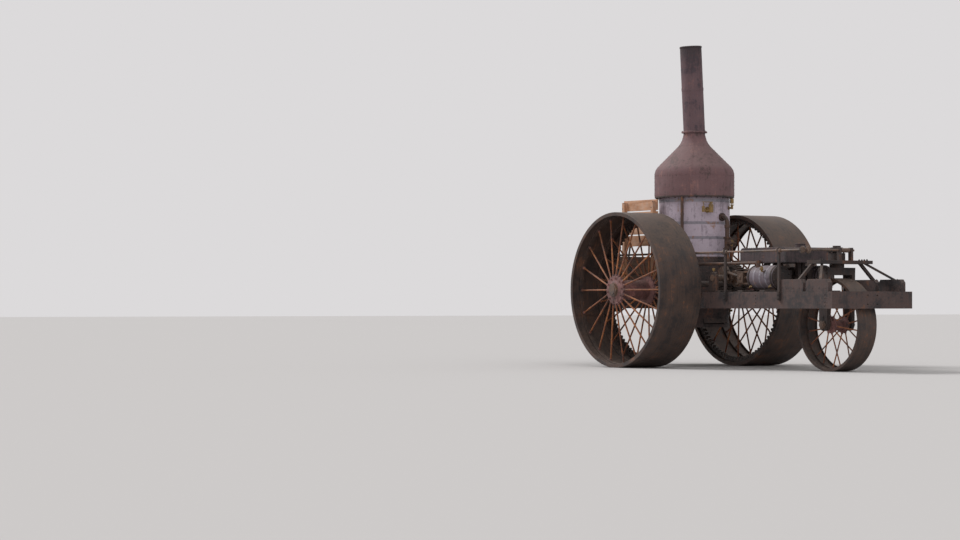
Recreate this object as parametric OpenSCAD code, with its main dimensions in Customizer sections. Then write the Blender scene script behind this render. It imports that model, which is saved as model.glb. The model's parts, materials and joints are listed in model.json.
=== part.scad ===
// Three-wheeled steam traction engine: an upright boiler stands between two
// tall driving wheels, a pair of flat cylinders lies ahead of it, and one
// steered wheel carries the front. Lengths are in millimetres. Inside the
// modules x runs forward from the driving axle, y to the machine's left and
// z up from the ground.

/* [Driving wheels] */
// Diameter over the tread
wheel_d = 2440; // [2380:10:2480]
// Width of the rim
wheel_w = 780; // [740:10:820]
// Distance from the middle of the machine to a rim's inner edge
wheel_inner = 795; // [793:1:840]
// Thickness of the rolled rim plate
rim_t = 22; // [16:1:26]
// Depth of the hoops riveted inside the rim
hoop_t = 28; // [20:1:30]
// Width of a hoop
hoop_w = 70; // [50:5:90]
// Radius of the hub barrel
hub_r = 150; // [130:5:160]
// Radius of the hub flanges that hold the spokes
hub_flange_r = 220; // [200:5:240]
// Thickness of a hub flange
hub_flange_t = 50; // [40:5:60]
// Radius of a spoke rod
spoke_r = 13; // [9:1:16]
// Spokes in each of a wheel's two sets
spokes_n = 20; // [12:1:24]
// Radius of the fixed stub axles
axle_r = 75; // [60:5:90]

/* [Wheel gearing] */
// Tooth module of the bull gears and their pinions
bull_module = 25; // [24:0.5:25.5]
// Teeth of a bull gear
bull_teeth = 88; // [86:1:89]
// Teeth of a bull pinion
pinion_teeth = 10; // [9:1:11]
// Face width of a bull gear
bull_w = 60; // [50:2:60]

/* [Frame] */
// Top of the side rails above the ground
rail_top = 1180; // [1170:5:1200]
// Height of a side rail
rail_h = 250; // [220:10:270]
// Width of a rail's flanges
rail_w = 80; // [70:5:90]
// Thickness of a rail's web
rail_web = 12; // [8:1:16]
// Thickness of a rail's flanges
rail_flange = 18; // [12:1:22]
// Distance from the middle of the machine to a rail's outer face
rail_outer = 740; // [730:1:742]
// Rear end of the rails behind the driving axle
rail_rear = 2300; // [2200:20:2400]
// Length of the front cross beam along the machine
front_beam_l = 110; // [90:10:140]
// Clearance left ahead of the steered wheel's swing
swing_gap = 12; // [8:1:30]
// Reach of the drawbar behind the rails
drawbar_reach = 250; // [200:10:320]
// Radius of the hole for the drawbar pin
drawbar_pin_r = 27; // [20:1:32]
// Height of the drawbar above the ground
drawbar_z = 700; // [640:10:760]

/* [Steered wheel] */
// Diameter of the steered wheel
front_d = 1380; // [1300:10:1390]
// Width of the steered wheel
front_w = 340; // [280:10:360]
// Distance from the driving axle forward to the king post
wheelbase = 3480; // [3420:10:3600]
// Radius of the steered wheel's axle
front_axle_r = 45; // [35:5:55]
// Radius of the king post
king_r = 60; // [50:5:65]
// Thickness of a yoke leg
yoke_t = 60; // [45:5:70]
// Gap between the wheel and the yoke
yoke_gap = 35; // [25:5:45]
// Underside of the pedestal's head above the ground
head_z = 1590; // [1580:5:1620]

/* [Boiler] */
// Radius of the boiler shell
shell_r = 570; // [540:5:585]
// Thickness of the firebox walls with their water space
firebox_wall = 90; // [70:5:110]
// Underside of the firebox above the ground
shell_bottom = 820; // [780:10:860]
// Seam between the firebox ring and the barrel
firebox_top = 1750; // [1700:10:1800]
// Top of the barrel and foot of the smoke hood
shell_top = 2720; // [2650:10:2800]
// Radius of the smoke hood's skirt
hood_r = 635; // [615:5:660]
// Height of the hood's straight skirt
hood_skirt = 340; // [280:10:400]
// Radius of the hood's rounded shoulder
hood_round = 200; // [140:10:230]
// Radius of the hollow sweep up to the hood's neck
neck_round = 330; // [250:10:380]
// Outer diameter of the stack
stack_d = 345; // [320:5:360]
// Wall of the stack and the hood
stack_wall = 8; // [6:1:12]
// Height of the stack above the hood
stack_h = 1370; // [1000:10:1600]
// Lean of the stack to the machine's right in degrees
stack_lean = 3; // [0:1:4]
// Radius of the fire hole
fire_hole_r = 160; // [140:5:170]
// Height of the fire hole above the ground
fire_hole_z = 1450; // [1430:10:1500]

/* [Engine] */
// Radius of a cylinder with its lagging
cyl_r = 180; // [160:5:185]
// Length of a cylinder
cyl_l = 600; // [540:10:620]
// Distance from the middle of the machine to a cylinder's axis
cyl_y = 430; // [425:5:440]
// Height of the cylinders and the crankshaft above the ground
engine_z = 1400; // [1395:5:1410]
// Throw of a crank
crank_throw = 125; // [110:5:130]
// Length of a connecting rod between its eyes
rod_l = 480; // [460:10:500]
// Radius of the crankshaft
crank_r = 50; // [40:5:55]
// Radius of the flywheel
flywheel_r = 380; // [340:10:385]
// Width of the flywheel's rim
flywheel_w = 94; // [80:2:110]
// Tooth module of the crank pinion and the spur gear
spur_module = 14; // [13:1:14]
// Teeth of the crank pinion
crank_teeth = 16; // [15:1:17]
// Teeth of the spur gear
spur_teeth = 46; // [44:1:47]
// Radius of the countershaft
counter_r = 45; // [35:5:50]
// Height of the countershaft above the driving axle
counter_rise = 90; // [70:5:100]

/* [Tank and deck] */
// Length of the water tank
tank_l = 1100; // [900:20:1120]
// Width of the water tank
tank_w = 920; // [800:20:940]
// Height of the water tank
tank_h = 230; // [180:10:300]
// Thickness of the deck planks
plank_t = 40; // [30:5:50]
// Number of deck planks
planks_n = 8; // [6:1:10]
// Height of the bunker's boards above the deck
bunker_h = 560; // [400:20:700]
// Length of the fuel bunker
bunker_l = 760; // [600:20:800]
// Length of a side rack
rack_l = 905; // [700:5:905]
// Top of the side racks above the ground
rack_top = 2670; // [2600:10:2700]

/* [Hidden] */
$fn = 48;
seat = 0.3;
run_fit = 0.1;

wheel_r = wheel_d / 2;
wheel_outer = wheel_inner + wheel_w;
rim_in = wheel_r - rim_t - hoop_t;
hub_in_end = wheel_inner - 5;
hub_out_end = wheel_outer + 5;
flange_in = wheel_inner + 110;
flange_out = wheel_outer - 10;
hoop_in = wheel_inner + 230;
hoop_out = wheel_outer - 190;
bull_far = flange_in - seat;
axle_end = hub_out_end + 45;

rail_bottom = rail_top - rail_h;
rail_inner = rail_outer - rail_w;
bracket_out = wheel_inner - 15;
saddle_in = shell_r + 20;

front_r = front_d / 2;
beam_dip = front_r - rail_bottom;
swing_r = sqrt(pow(front_r, 2) - pow(beam_dip, 2) + pow(front_w / 2, 2));
beam_x = wheelbase + swing_r + swing_gap;
front_end = beam_x + front_beam_l;
rear_end = rail_rear + drawbar_reach;
mid_x = (front_end - rear_end) / 2;

counter_z = wheel_r + counter_rise;
bull_reach = bull_module * (bull_teeth - pinion_teeth) / 2;
counter_x = sqrt(pow(bull_reach, 2) - pow(counter_rise, 2));
spur_reach = spur_module * (crank_teeth + spur_teeth) / 2;
crank_x = counter_x + sqrt(pow(spur_reach, 2) - pow(engine_z - counter_z, 2));
cyl_x = crank_x + rod_l + crank_throw + 110;

hood_neck_r = stack_d / 2;
shoulder_z = shell_top + hood_skirt;
hood_slope_run = hood_r - hood_neck_r - (hood_round + neck_round) * (1 - cos(45));
neck_z = shoulder_z + hood_slope_run + (hood_round + neck_round) * sin(45);
stack_base = neck_z + 20;

deck_z = rail_top + plank_t;
tank_z = engine_z + cyl_r + 40;
tank_x = wheelbase - 620 - tank_l;
head_top = head_z + 160;
worm_z = head_z + 200;
worm_wheel_r = 150;
worm_r = 30;
worm_x = wheelbase + worm_wheel_r + worm_r + 5;
steer_y = rail_outer + 14;
steer_r = 16;
shoe_h = 180;
shoe_table = [[wheelbase - 470, wheelbase + 110], [wheelbase + 170, beam_x - 4]];
plank_edge = rail_outer - 20;
tow_y = 90;
tow_z = 65;
tow_bolt_r = 13;

front_hoop_r = front_r - 38;
front_hub_y = 130;
front_flange_r = 125;
yoke_in = front_w / 2 + yoke_gap;
yoke_out = yoke_in + yoke_t;
crown_z = front_d + 45;
crown_t = 110;

// Four pedestal legs: each row has the foot's x, the top's x and the top's y.
leg_table = [[wheelbase, wheelbase, 460], [wheelbase + 460, wheelbase + 160, 420]];
head_back = 90;
head_front = worm_x - wheelbase + 45;
head_y = 500;
ear_y = 90;
post_top = worm_z + 38;
bevel_back = 42;
hand_x = -rail_rear / 2 - 120;
post_places = [-rail_rear / 2 + 30, crank_x + 380, wheelbase - 420];

cross_l = 70;
cross_web = 12;
cross_places = [-rail_rear, -shell_r - 180, shell_r + 15, cyl_x + cyl_l - 260];

barrel_r = shell_r - 6;
foot_ring_t = 24;
bracket_places = [-330, 210];
fire_door_x = -shell_r - 52;
fire_door_t = 18;
hinge_y = fire_hole_r + 78;
hinge_pin = 9;
lug_places = [-92, 62];
exhaust_y = tank_w / 2 + 45;
exhaust_at = [sqrt(pow(shell_r + 42, 2) - pow(exhaust_y, 2)), -exhaust_y];
steam_pipe_r = 34;
steam_pipe_y = 120;
throttle_z = 1960;
filler_r = 68;

bed_top = engine_z - cyl_r - 12;
bar_t = 24;
chest_in = cyl_y - cyl_r - 90;
bed_bars = [crank_x + 110, cyl_x - 60, cyl_x + cyl_l - 130];
crank_pin_r = 38;

// Crank angles of the two sides, a quarter turn apart, where they rusted solid.
crank_angles = [[1, 35], [-1, 125]];

// Turn of each gear that puts a tooth of one opposite a gap of the other.
mesh_line = atan2(engine_z - counter_z, crank_x - counter_x);
crank_mesh = mesh_line + 180 / crank_teeth;
spur_half = 55;
pinion_out = bull_far - bull_w - 12;

link_x = crank_x + 505;
link_rise = 70;
ecc_throw = 36;
strap_r = 108;
strap_w = 30;
gear_y0 = 215;
link_y0 = gear_y0 + strap_w + 10;

// Everything is placed from the middle of the driving axle's line.
module from_axle() {
    translate([-mid_x, 0, 0]) children();
}

module both_sides() {
    children();
    mirror([0, 1, 0]) children();
}

module rod_x(r, x0, x1) {
    translate([x0, 0, 0]) rotate([0, 90, 0]) cylinder(r = r, h = x1 - x0);
}

module rod_y(r, y0, y1) {
    translate([0, y0, 0]) rotate([-90, 0, 0]) cylinder(r = r, h = y1 - y0);
}

// A profile of [radius, y] points turned about the y axis.
module turned_y() {
    rotate([-90, 0, 0]) rotate_extrude($fn = 96) children();
}

// A side view of [x, z] points made y0 to y1 thick.
module slab_y(y0, y1, points) {
    translate([0, y1, 0]) rotate([90, 0, 0]) linear_extrude(y1 - y0) polygon(points);
}

// A block between two opposite corners.
module block(low, high) {
    translate(low) cube(high - low);
}

// Straight-flanked teeth: root, tip, tip and root of each tooth in turn. The
// same outline with longer tips is the hole of a ring with inward teeth.
function gear_points(teeth, m, root = 1.2, tip = 0.9) = [
    for (i = [0 : teeth - 1], k = [[-0.31, -root], [-0.14, tip], [0.14, tip], [0.31, -root]])
        let (a = (i + k[0]) * 360 / teeth, r = m * (teeth / 2 + k[1]))
        [r * cos(a), r * sin(a)]
];

module gear_y(teeth, m, y0, y1) {
    translate([0, y0, 0]) rotate([-90, 0, 0]) linear_extrude(y1 - y0)
        polygon(gear_points(teeth, m));
}

// Rods between two turned surfaces, cut to seat on both.
module spoke_set(n, start, hub_r, rim_r, hub_y, rim_y, r) {
    lean = atan((rim_y - hub_y) / (rim_r - hub_r));
    intersection() {
        for (i = [0 : n - 1])
            rotate([0, start + i * 360 / n, 0])
                translate([0, hub_y, hub_r]) rotate([-lean, 0, 0])
                    translate([0, 0, -2 * r]) cylinder(r = r, h = (rim_r - hub_r) / cos(lean) + 4 * r);
        difference() {
            rod_y(rim_r - seat, min(hub_y, rim_y) - 4 * r, max(hub_y, rim_y) + 4 * r, $fn = 240);
            rod_y(hub_r + seat, min(hub_y, rim_y) - 5 * r, max(hub_y, rim_y) + 5 * r, $fn = 240);
        }
    }
}

// One driving wheel's pieces, for the left side; the right side is mirrored.
module drive_rim() {
    plate_in = wheel_r - rim_t;
    lip_in = plate_in - 34;
    lip_t = 14;
    translate([0, 0, wheel_r]) turned_y() polygon([
        [wheel_r, wheel_inner], [wheel_r, wheel_outer],
        [lip_in, wheel_outer], [lip_in, wheel_outer - lip_t],
        [plate_in, wheel_outer - lip_t],
        [plate_in, hoop_out + hoop_w / 2], [rim_in, hoop_out + hoop_w / 2],
        [rim_in, hoop_out - hoop_w / 2], [plate_in, hoop_out - hoop_w / 2],
        [plate_in, hoop_in + hoop_w / 2], [rim_in, hoop_in + hoop_w / 2],
        [rim_in, hoop_in - hoop_w / 2], [plate_in, hoop_in - hoop_w / 2],
        [plate_in, wheel_inner + lip_t], [lip_in, wheel_inner + lip_t],
        [lip_in, wheel_inner]]);
}

module drive_spokes() {
    translate([0, 0, wheel_r]) {
        spoke_set(spokes_n, 0, hub_flange_r, rim_in, flange_out - hub_flange_t / 2, hoop_out, spoke_r);
        spoke_set(spokes_n, 180 / spokes_n, hub_flange_r, rim_in,
            flange_in + hub_flange_t / 2, hoop_in, spoke_r);
    }
}

module drive_hub() {
    bore = axle_r + run_fit;
    translate([0, 0, wheel_r]) turned_y() polygon([
        [bore, hub_in_end], [hub_r, hub_in_end],
        [hub_r, flange_in], [hub_flange_r, flange_in],
        [hub_flange_r, flange_in + hub_flange_t], [hub_r, flange_in + hub_flange_t + 30],
        [hub_r, flange_out - hub_flange_t - 30], [hub_flange_r, flange_out - hub_flange_t],
        [hub_flange_r, flange_out], [hub_r, flange_out], [hub_r - 25, hub_out_end],
        [bore, hub_out_end]]);
}

// A ring with inward teeth, bolted inside the rim beside its inner edge.
module bull_gear() {
    y0 = bull_far - bull_w;
    translate([0, y0, wheel_r]) rotate([-90, 0, 0]) difference() {
        cylinder(r = wheel_r - rim_t - seat, h = bull_w, $fn = 240);
        translate([0, 0, -1]) linear_extrude(bull_w + 2)
            polygon(gear_points(bull_teeth, bull_module, 0.9, 1.2));
    }
}

module on_side(side) {
    from_axle() {
        if (side > 0) children();
        else mirror([0, 1, 0]) children();
    }
}

module drive_rim_right() { color("#4a3f3c") on_side(-1) drive_rim(); }
module drive_spokes_right() { color("#8a5236") on_side(-1) drive_spokes(); }
module drive_hub_right() { color("#6b4c44") on_side(-1) drive_hub(); }
module bull_gear_right() { color("#3b332f") on_side(-1) bull_gear(); }
module drive_rim_left() { color("#4a3f3c") on_side(1) drive_rim(); }
module drive_spokes_left() { color("#8a5236") on_side(1) drive_spokes(); }
module drive_hub_left() { color("#6b4c44") on_side(1) drive_hub(); }
module bull_gear_left() { color("#3b332f") on_side(1) bull_gear(); }

// A channel with its web outward and a notch that passes the stub axle.
module side_rail() {
    difference() {
        block([-rail_rear, rail_inner, rail_bottom], [beam_x, rail_outer, rail_top]);
        block([-rail_rear - 1, rail_inner - 1, rail_bottom + rail_flange],
            [beam_x + 1, rail_outer - rail_web, rail_top - rail_flange]);
        translate([0, 0, wheel_r]) rod_y(axle_r + 1, rail_inner - 1, rail_outer + 1);
    }
}

module rail_right() { color("#54484a") from_axle() mirror([0, 1, 0]) side_rail(); }
module rail_left() { color("#54484a") from_axle() side_rail(); }

// Channels between the rails, with their flanges facing back.
module cross_members() {
    inner = rail_outer - rail_web - seat;
    low = rail_bottom + rail_flange + seat;
    high = rail_top - rail_flange - seat;
    flange = 14;
    color("#463c3c") from_axle() for (x = cross_places) difference() {
        block([x, -inner, low], [x + cross_l, inner, high]);
        block([x - 1, -inner - 1, low + flange], [x + cross_l - cross_web, inner + 1, high - flange]);
    }
}

// A channel across the rails' ends, web forward, with four holes for tow gear.
module front_beam() {
    reach = rail_outer + 25;
    wall = 20;
    color("#3a3231") from_axle() difference() {
        block([beam_x, -reach, rail_bottom], [front_end, reach, rail_top]);
        block([beam_x - 1, -rail_inner, rail_bottom + wall],
            [front_end - wall, rail_inner, rail_top - wall]);
        for (y = [-tow_y, tow_y], z = [-tow_z, tow_z])
            translate([0, y, rail_top - rail_h / 2 + z]) rod_x(tow_bolt_r, front_end - 30, front_end + 10);
    }
}

// A hanger plate under the rear cross member carries the tongue and its eye.
module drawbar() {
    tongue_w = 130;
    tongue_t = 50;
    plate_t = 24;
    plate_half = 220;
    heel = 70;
    back = -rail_rear;
    color("#3f3533") from_axle() difference() {
        union() {
            block([back - plate_t, -plate_half, rail_bottom - 60], [back, plate_half, rail_top - 40]);
            slab_y(-tongue_w / 2, tongue_w / 2, [
                [back, drawbar_z - 60], [back, rail_bottom], [back - plate_t, rail_bottom],
                [back - heel, drawbar_z + tongue_t / 2 + 20], [back - heel, drawbar_z - 60]]);
            block([-rear_end + tongue_w / 2, -tongue_w / 2, drawbar_z - tongue_t / 2],
                [back, tongue_w / 2, drawbar_z + tongue_t / 2]);
            translate([-rear_end + tongue_w / 2, 0, drawbar_z - tongue_t / 2])
                cylinder(r = tongue_w / 2, h = tongue_t);
        }
        translate([-rear_end + tongue_w / 2, 0, drawbar_z - tongue_t])
            cylinder(r = drawbar_pin_r, h = 2 * tongue_t);
    }
}

// Cast brackets: a plate on the rail's outer face and a saddle over its top.
module axle_brackets() {
    boss_r = axle_r + 50;
    foot = 360;
    foot_h = 150;
    color("#40383a") from_axle() both_sides() difference() {
        union() {
            slab_y(rail_outer, bracket_out, [
                [-foot, rail_bottom + 20], [foot, rail_bottom + 20], [foot, rail_bottom + foot_h],
                [boss_r, wheel_r + 60], [boss_r - 40, wheel_r + boss_r - 10],
                [40 - boss_r, wheel_r + boss_r - 10], [-boss_r, wheel_r + 60],
                [-foot, rail_bottom + foot_h]]);
            block([-boss_r, saddle_in, rail_top], [boss_r, rail_outer + 1, wheel_r + boss_r - 30]);
        }
        translate([0, 0, wheel_r]) rod_y(axle_r + run_fit, saddle_in - 1, bracket_out + 1);
    }
}

// Each stub has a thrust collar inside the hub and a nut outside it.
module stub_axles() {
    color("#5c5350") from_axle() both_sides() translate([0, 0, wheel_r]) {
        rod_y(axle_r, saddle_in, axle_end);
        rod_y(axle_r + 35, bracket_out + seat, hub_in_end - 3);
        translate([0, hub_out_end + 3, 0]) rotate([-90, 0, 0])
            cylinder(r = axle_r + 30, h = axle_end - hub_out_end - 12, $fn = 6);
    }
}

// The steered wheel, on the king post's line.
module front_rim() {
    half = front_w / 2;
    plate_in = front_r - 18;
    lip_in = plate_in - 26;
    lip_y = half - 12;
    hoop_in_r = plate_in - 20;
    hoop_y = 20;
    color("#3f3634") from_axle() translate([wheelbase, 0, front_r]) turned_y() polygon([
        [front_r, -half], [front_r, half], [lip_in, half], [lip_in, lip_y],
        [plate_in, lip_y], [plate_in, hoop_y], [hoop_in_r, hoop_y], [hoop_in_r, -hoop_y],
        [plate_in, -hoop_y], [plate_in, -lip_y], [lip_in, -lip_y], [lip_in, -half]]);
}

module front_spokes() {
    n = 10;
    rod_r = 10;
    color("#7a4a34") from_axle() translate([wheelbase, 0, front_r]) for (side = [-1, 1])
        spoke_set(n, side * 90 / n, front_flange_r, front_hoop_r,
            side * (front_hub_y - 15), side * 8, rod_r);
}

module front_hub() {
    bore = front_axle_r + run_fit;
    barrel = front_axle_r + 40;
    half = front_w / 2;
    face_in = front_hub_y - 30;
    fillet_in = front_hub_y - 50;
    color("#5f463f") from_axle() translate([wheelbase, 0, front_r]) turned_y() polygon([
        [bore, -half], [barrel, -half],
        [barrel, -front_hub_y], [front_flange_r, -front_hub_y], [front_flange_r, -face_in],
        [barrel, -fillet_in], [barrel, fillet_in], [front_flange_r, face_in],
        [front_flange_r, front_hub_y], [barrel, front_hub_y], [barrel, half],
        [bore, half]]);
}

// The pin through the yoke, with a thrust collar and a nut at each end.
module front_axle() {
    collar_r = front_axle_r + 22;
    color("#5c5350") from_axle() translate([wheelbase, 0, front_r]) {
        rod_y(front_axle_r, -yoke_out - 45, yoke_out + 45);
        both_sides() rod_y(collar_r, front_w / 2 + 2, yoke_in - seat);
        both_sides() rotate([-90, 0, 0]) translate([0, 0, yoke_out + seat])
            cylinder(r = collar_r, h = 30, $fn = 6);
    }
}

// The forked yoke under its crown, and the king post above it.
module steering_yoke() {
    boss = front_axle_r + 45;
    top_half = 110;
    crown_top = crown_z + crown_t;
    color("#433a38") from_axle() translate([wheelbase, 0, 0]) {
        both_sides() difference() {
            union() {
                slab_y(yoke_in, yoke_out, [
                    [-boss, front_r], [boss, front_r], [105, crown_z], [top_half, crown_top],
                    [-top_half, crown_top], [-105, crown_z]]);
                translate([0, 0, front_r]) rod_y(boss, yoke_in, yoke_out);
            }
            translate([0, 0, front_r]) rod_y(front_axle_r + run_fit, yoke_in - 1, yoke_out + 1);
        }
        block([-top_half, -yoke_in, crown_z], [top_half, yoke_in, crown_top]);
        translate([0, 0, crown_top]) cylinder(r = king_r + 50, h = head_z - crown_top - 3);
        translate([0, 0, crown_top]) cylinder(r = king_r, h = worm_z + 70 - crown_top);
    }
}

// The wheel the worm turns, on the top of the king post.
module worm_wheel() {
    teeth = 24;
    face = 50;
    hub_h = 70;
    color("#6a5a50") from_axle() translate([wheelbase, 0, worm_z - face / 2]) difference() {
        union() {
            linear_extrude(face) polygon(gear_points(teeth, worm_wheel_r / (teeth / 2 + 0.9)));
            cylinder(r = king_r + 30, h = hub_h);
        }
        translate([0, 0, -1]) cylinder(r = king_r + run_fit, h = hub_h + 2);
    }
}

// Low cast shoes on the rail tops, two to a side.
module rail_shoes() {
    top = rail_top + shoe_h;
    slope = 40;
    fall = 50;
    color("#5d5154") from_axle() both_sides() for (shoe = shoe_table)
        slab_y(rail_inner, rail_outer, [
            [shoe[0], rail_top], [shoe[1], rail_top], [shoe[1], top - fall], [shoe[1] - slope, top],
            [shoe[0] + slope, top], [shoe[0], top - fall]]);
}

// A flat bar with level ends, leaning in the upright plane through both.
module leg(foot, top, width, thick) {
    run = top - foot;
    across = norm([run[0], run[1]]);
    translate(foot) rotate([0, 0, atan2(run[1], run[0])]) slab_y(-thick / 2, thick / 2, [
        [-width / 2, 0], [width / 2, 0], [across + width / 2, run[2]], [across - width / 2, run[2]]]);
}

// Four flat legs from the shoes up to the head.
module pedestal_legs() {
    foot_z = rail_top + shoe_h;
    foot_y = rail_outer - rail_w / 2;
    leg_w = 70;
    leg_t = 40;
    color("#3c3431") from_axle() both_sides() for (row = leg_table)
        leg([row[0], foot_y, foot_z], [row[1], row[2], head_z], leg_w, leg_t);
}

// The head plate with the king post's bearing and the two of the cross shaft.
module pedestal_head() {
    plate = 50;
    boss_wall = 65;
    ear_half = 35;
    ear_t = 40;
    color("#453b3a") from_axle() translate([wheelbase, 0, 0]) difference() {
        union() {
            block([-head_back, -head_y, head_z], [head_front, head_y, head_z + plate]);
            translate([0, 0, head_z]) cylinder(r = king_r + boss_wall, h = head_top - head_z);
            for (y = [-ear_y - ear_t, ear_y])
                block([worm_x - wheelbase - ear_half, y, head_z],
                    [worm_x - wheelbase + ear_half, y + ear_t, post_top]);
        }
        translate([0, 0, head_z - 1]) cylinder(r = king_r + run_fit, h = head_top - head_z + 2);
        translate([worm_x - wheelbase, 0, worm_z]) rod_y(steer_r + run_fit, -200, 200);
    }
}

module bevel() {
    cylinder(r1 = bevel_back - 8, r2 = bevel_back + 10, h = 22);
}

// The cross shaft carries the worm and, at its right end, a bevel.
module worm_shaft() {
    end_y = ear_y + 80;
    worm_half = ear_y - 10;
    color("#6a5a50") from_axle() translate([worm_x, 0, worm_z]) {
        rod_y(steer_r, bevel_back - steer_y, end_y);
        rod_y(worm_r, -worm_half, worm_half);
        translate([0, bevel_back - steer_y, 0]) rotate([-90, 0, 0]) bevel();
    }
}

// Flat posts on the rail's side, thinned between their foot and the bearing.
module shaft_posts() {
    half = 22;
    post_t = 26;
    thin_t = 14;
    foot_h = 130;
    color("#3f3634") from_axle() for (x = post_places) difference() {
        block([x - half, -steer_y - post_t, rail_top - foot_h], [x + half, -rail_outer, post_top]);
        translate([0, -steer_y, worm_z]) rod_x(steer_r + run_fit, x - half - 1, x + half + 1);
        block([x - half - 1, -steer_y - post_t - 1, rail_top],
            [x + half + 1, -steer_y - thin_t, 2 * worm_z - post_top]);
    }
}

// The long shaft runs back outside the right rail.
module steering_shaft() {
    color("#5c5350") from_axle() translate([0, -steer_y, worm_z]) {
        rod_x(steer_r, hand_x, worm_x - bevel_back);
        translate([worm_x - bevel_back, 0, 0]) rotate([0, -90, 0]) bevel();
    }
}

module hand_wheel() {
    ring_r = 194;
    bar_r = 14;
    boss_r = 34;
    arms = 5;
    color("#4c3a30") from_axle() translate([hand_x - bar_r - seat, -steer_y, worm_z]) {
        rotate([0, -90, 0]) rotate_extrude($fn = 64) translate([ring_r, 0]) circle(r = bar_r, $fn = 24);
        rod_x(boss_r, -bar_r, bar_r);
        for (i = [0 : arms - 1]) rotate([i * 360 / arms, 0, 0]) cylinder(r = 9, h = ring_r);
    }
}

// The firebox ring: a thick wall open below, with the fire hole at the back.
module firebox() {
    color("#4b3f3d") from_axle() difference() {
        translate([0, 0, shell_bottom]) cylinder(r = shell_r, h = firebox_top - shell_bottom, $fn = 96);
        translate([0, 0, shell_bottom - 1])
            cylinder(r = shell_r - firebox_wall, h = firebox_top - shell_bottom - firebox_wall, $fn = 96);
        translate([0, 0, fire_hole_z]) rod_x(fire_hole_r, -shell_r - 10, -shell_r / 2);
    }
}

// A sheet pan under the grate, with its draught opening in front.
module ash_pan() {
    pan_h = 190;
    pan_r = shell_r - 20;
    color("#332c2b") from_axle() translate([0, 0, shell_bottom - pan_h]) difference() {
        cylinder(r = pan_r, h = pan_h - seat);
        translate([0, 0, 10]) cylinder(r = pan_r - 10, h = pan_h);
        block([shell_r / 2, -200, 50], [shell_r, 200, pan_h - 50]);
    }
}

// The jacketed barrel and the foot ring that the hood is bolted to.
module boiler_barrel() {
    color("#8f8076") from_axle() {
        translate([0, 0, firebox_top]) cylinder(r = barrel_r, h = shell_top - firebox_top, $fn = 96);
        translate([0, 0, shell_top - foot_ring_t]) cylinder(r = hood_r, h = foot_ring_t, $fn = 96);
    }
}

// Brackets riveted to the firebox stand on the rails.
module boiler_brackets() {
    foot_l = 120;
    inner = rail_inner - 260;
    rib = [45, 75];
    rib_h = 160;
    color("#40383a") from_axle() both_sides() for (x = bracket_places) difference() {
        union() {
            block([x, inner, rail_top], [x + foot_l, rail_outer, rail_top + 30]);
            block([x + rib[0], inner, rail_top], [x + rib[1], rail_outer - 40, rail_top + rib_h]);
        }
        translate([0, 0, rail_top - 1]) cylinder(r = shell_r + seat, h = 300, $fn = 96);
    }
}

// The bell's outline, moved inward by a wall: a rounded shoulder, a straight
// slope at 45 degrees and a hollow sweep that ends upright at the neck.
function bell_points(wall) = concat(
    [for (a = [0 : 9 : 45])
        [hood_r - hood_round + (hood_round - wall) * cos(a), shoulder_z + (hood_round - wall) * sin(a)]],
    [for (a = [45 : -9 : 0])
        [hood_neck_r + neck_round - (neck_round + wall) * cos(a), neck_z - (neck_round + wall) * sin(a)]]);

// The hood ends in a flat collar that carries the stack.
module smoke_hood() {
    inside = bell_points(stack_wall);
    color("#6f5152") from_axle() rotate_extrude($fn = 96) polygon(concat(
        [[hood_r - stack_wall, shell_top], [hood_r, shell_top]],
        bell_points(0),
        [[hood_neck_r + 34, neck_z], [hood_neck_r + 34, stack_base],
            [hood_neck_r - stack_wall, stack_base]],
        [for (i = [len(inside) - 1 : -1 : 0]) inside[i]]));
}

module stack() {
    color("#6b5150") from_axle() intersection() {
        translate([0, 0, stack_base]) rotate([stack_lean, 0, 0]) difference() {
            translate([0, 0, -60]) cylinder(r = stack_d / 2, h = stack_h + 60);
            translate([0, 0, -61]) cylinder(r = stack_d / 2 - stack_wall, h = stack_h + 70);
        }
        block([-400, -600, stack_base], [400, 600, stack_base + stack_h + 100]);
    }
}

// The mouthpiece ring with two lugs and the hinge pin.
module fire_door_frame() {
    ring_r = fire_hole_r + 45;
    lug_h = 30;
    eye_r = 2 * hinge_pin;
    color("#3d3432") from_axle() translate([0, 0, fire_hole_z]) {
        difference() {
            union() {
                rod_x(ring_r, fire_door_x, -shell_r / 2);
                for (z = lug_places)
                    block([fire_door_x + 4, fire_hole_r, z], [fire_door_x + 34, hinge_y, z + lug_h]);
            }
            rod_x(fire_hole_r, fire_door_x - 1, 0);
            translate([0, 0, -400]) cylinder(r = shell_r + seat, h = 800, $fn = 96);
        }
        for (z = lug_places) translate([fire_door_x - fire_door_t / 2, hinge_y, z]) {
            cylinder(r = eye_r, h = lug_h);
            block([0, -16, 0], [fire_door_t / 2 + 34, 16, lug_h]);
        }
        translate([fire_door_x - fire_door_t / 2, hinge_y, lug_places[0]])
            cylinder(r = hinge_pin, h = lug_places[1] + lug_h - lug_places[0]);
    }
}

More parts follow.
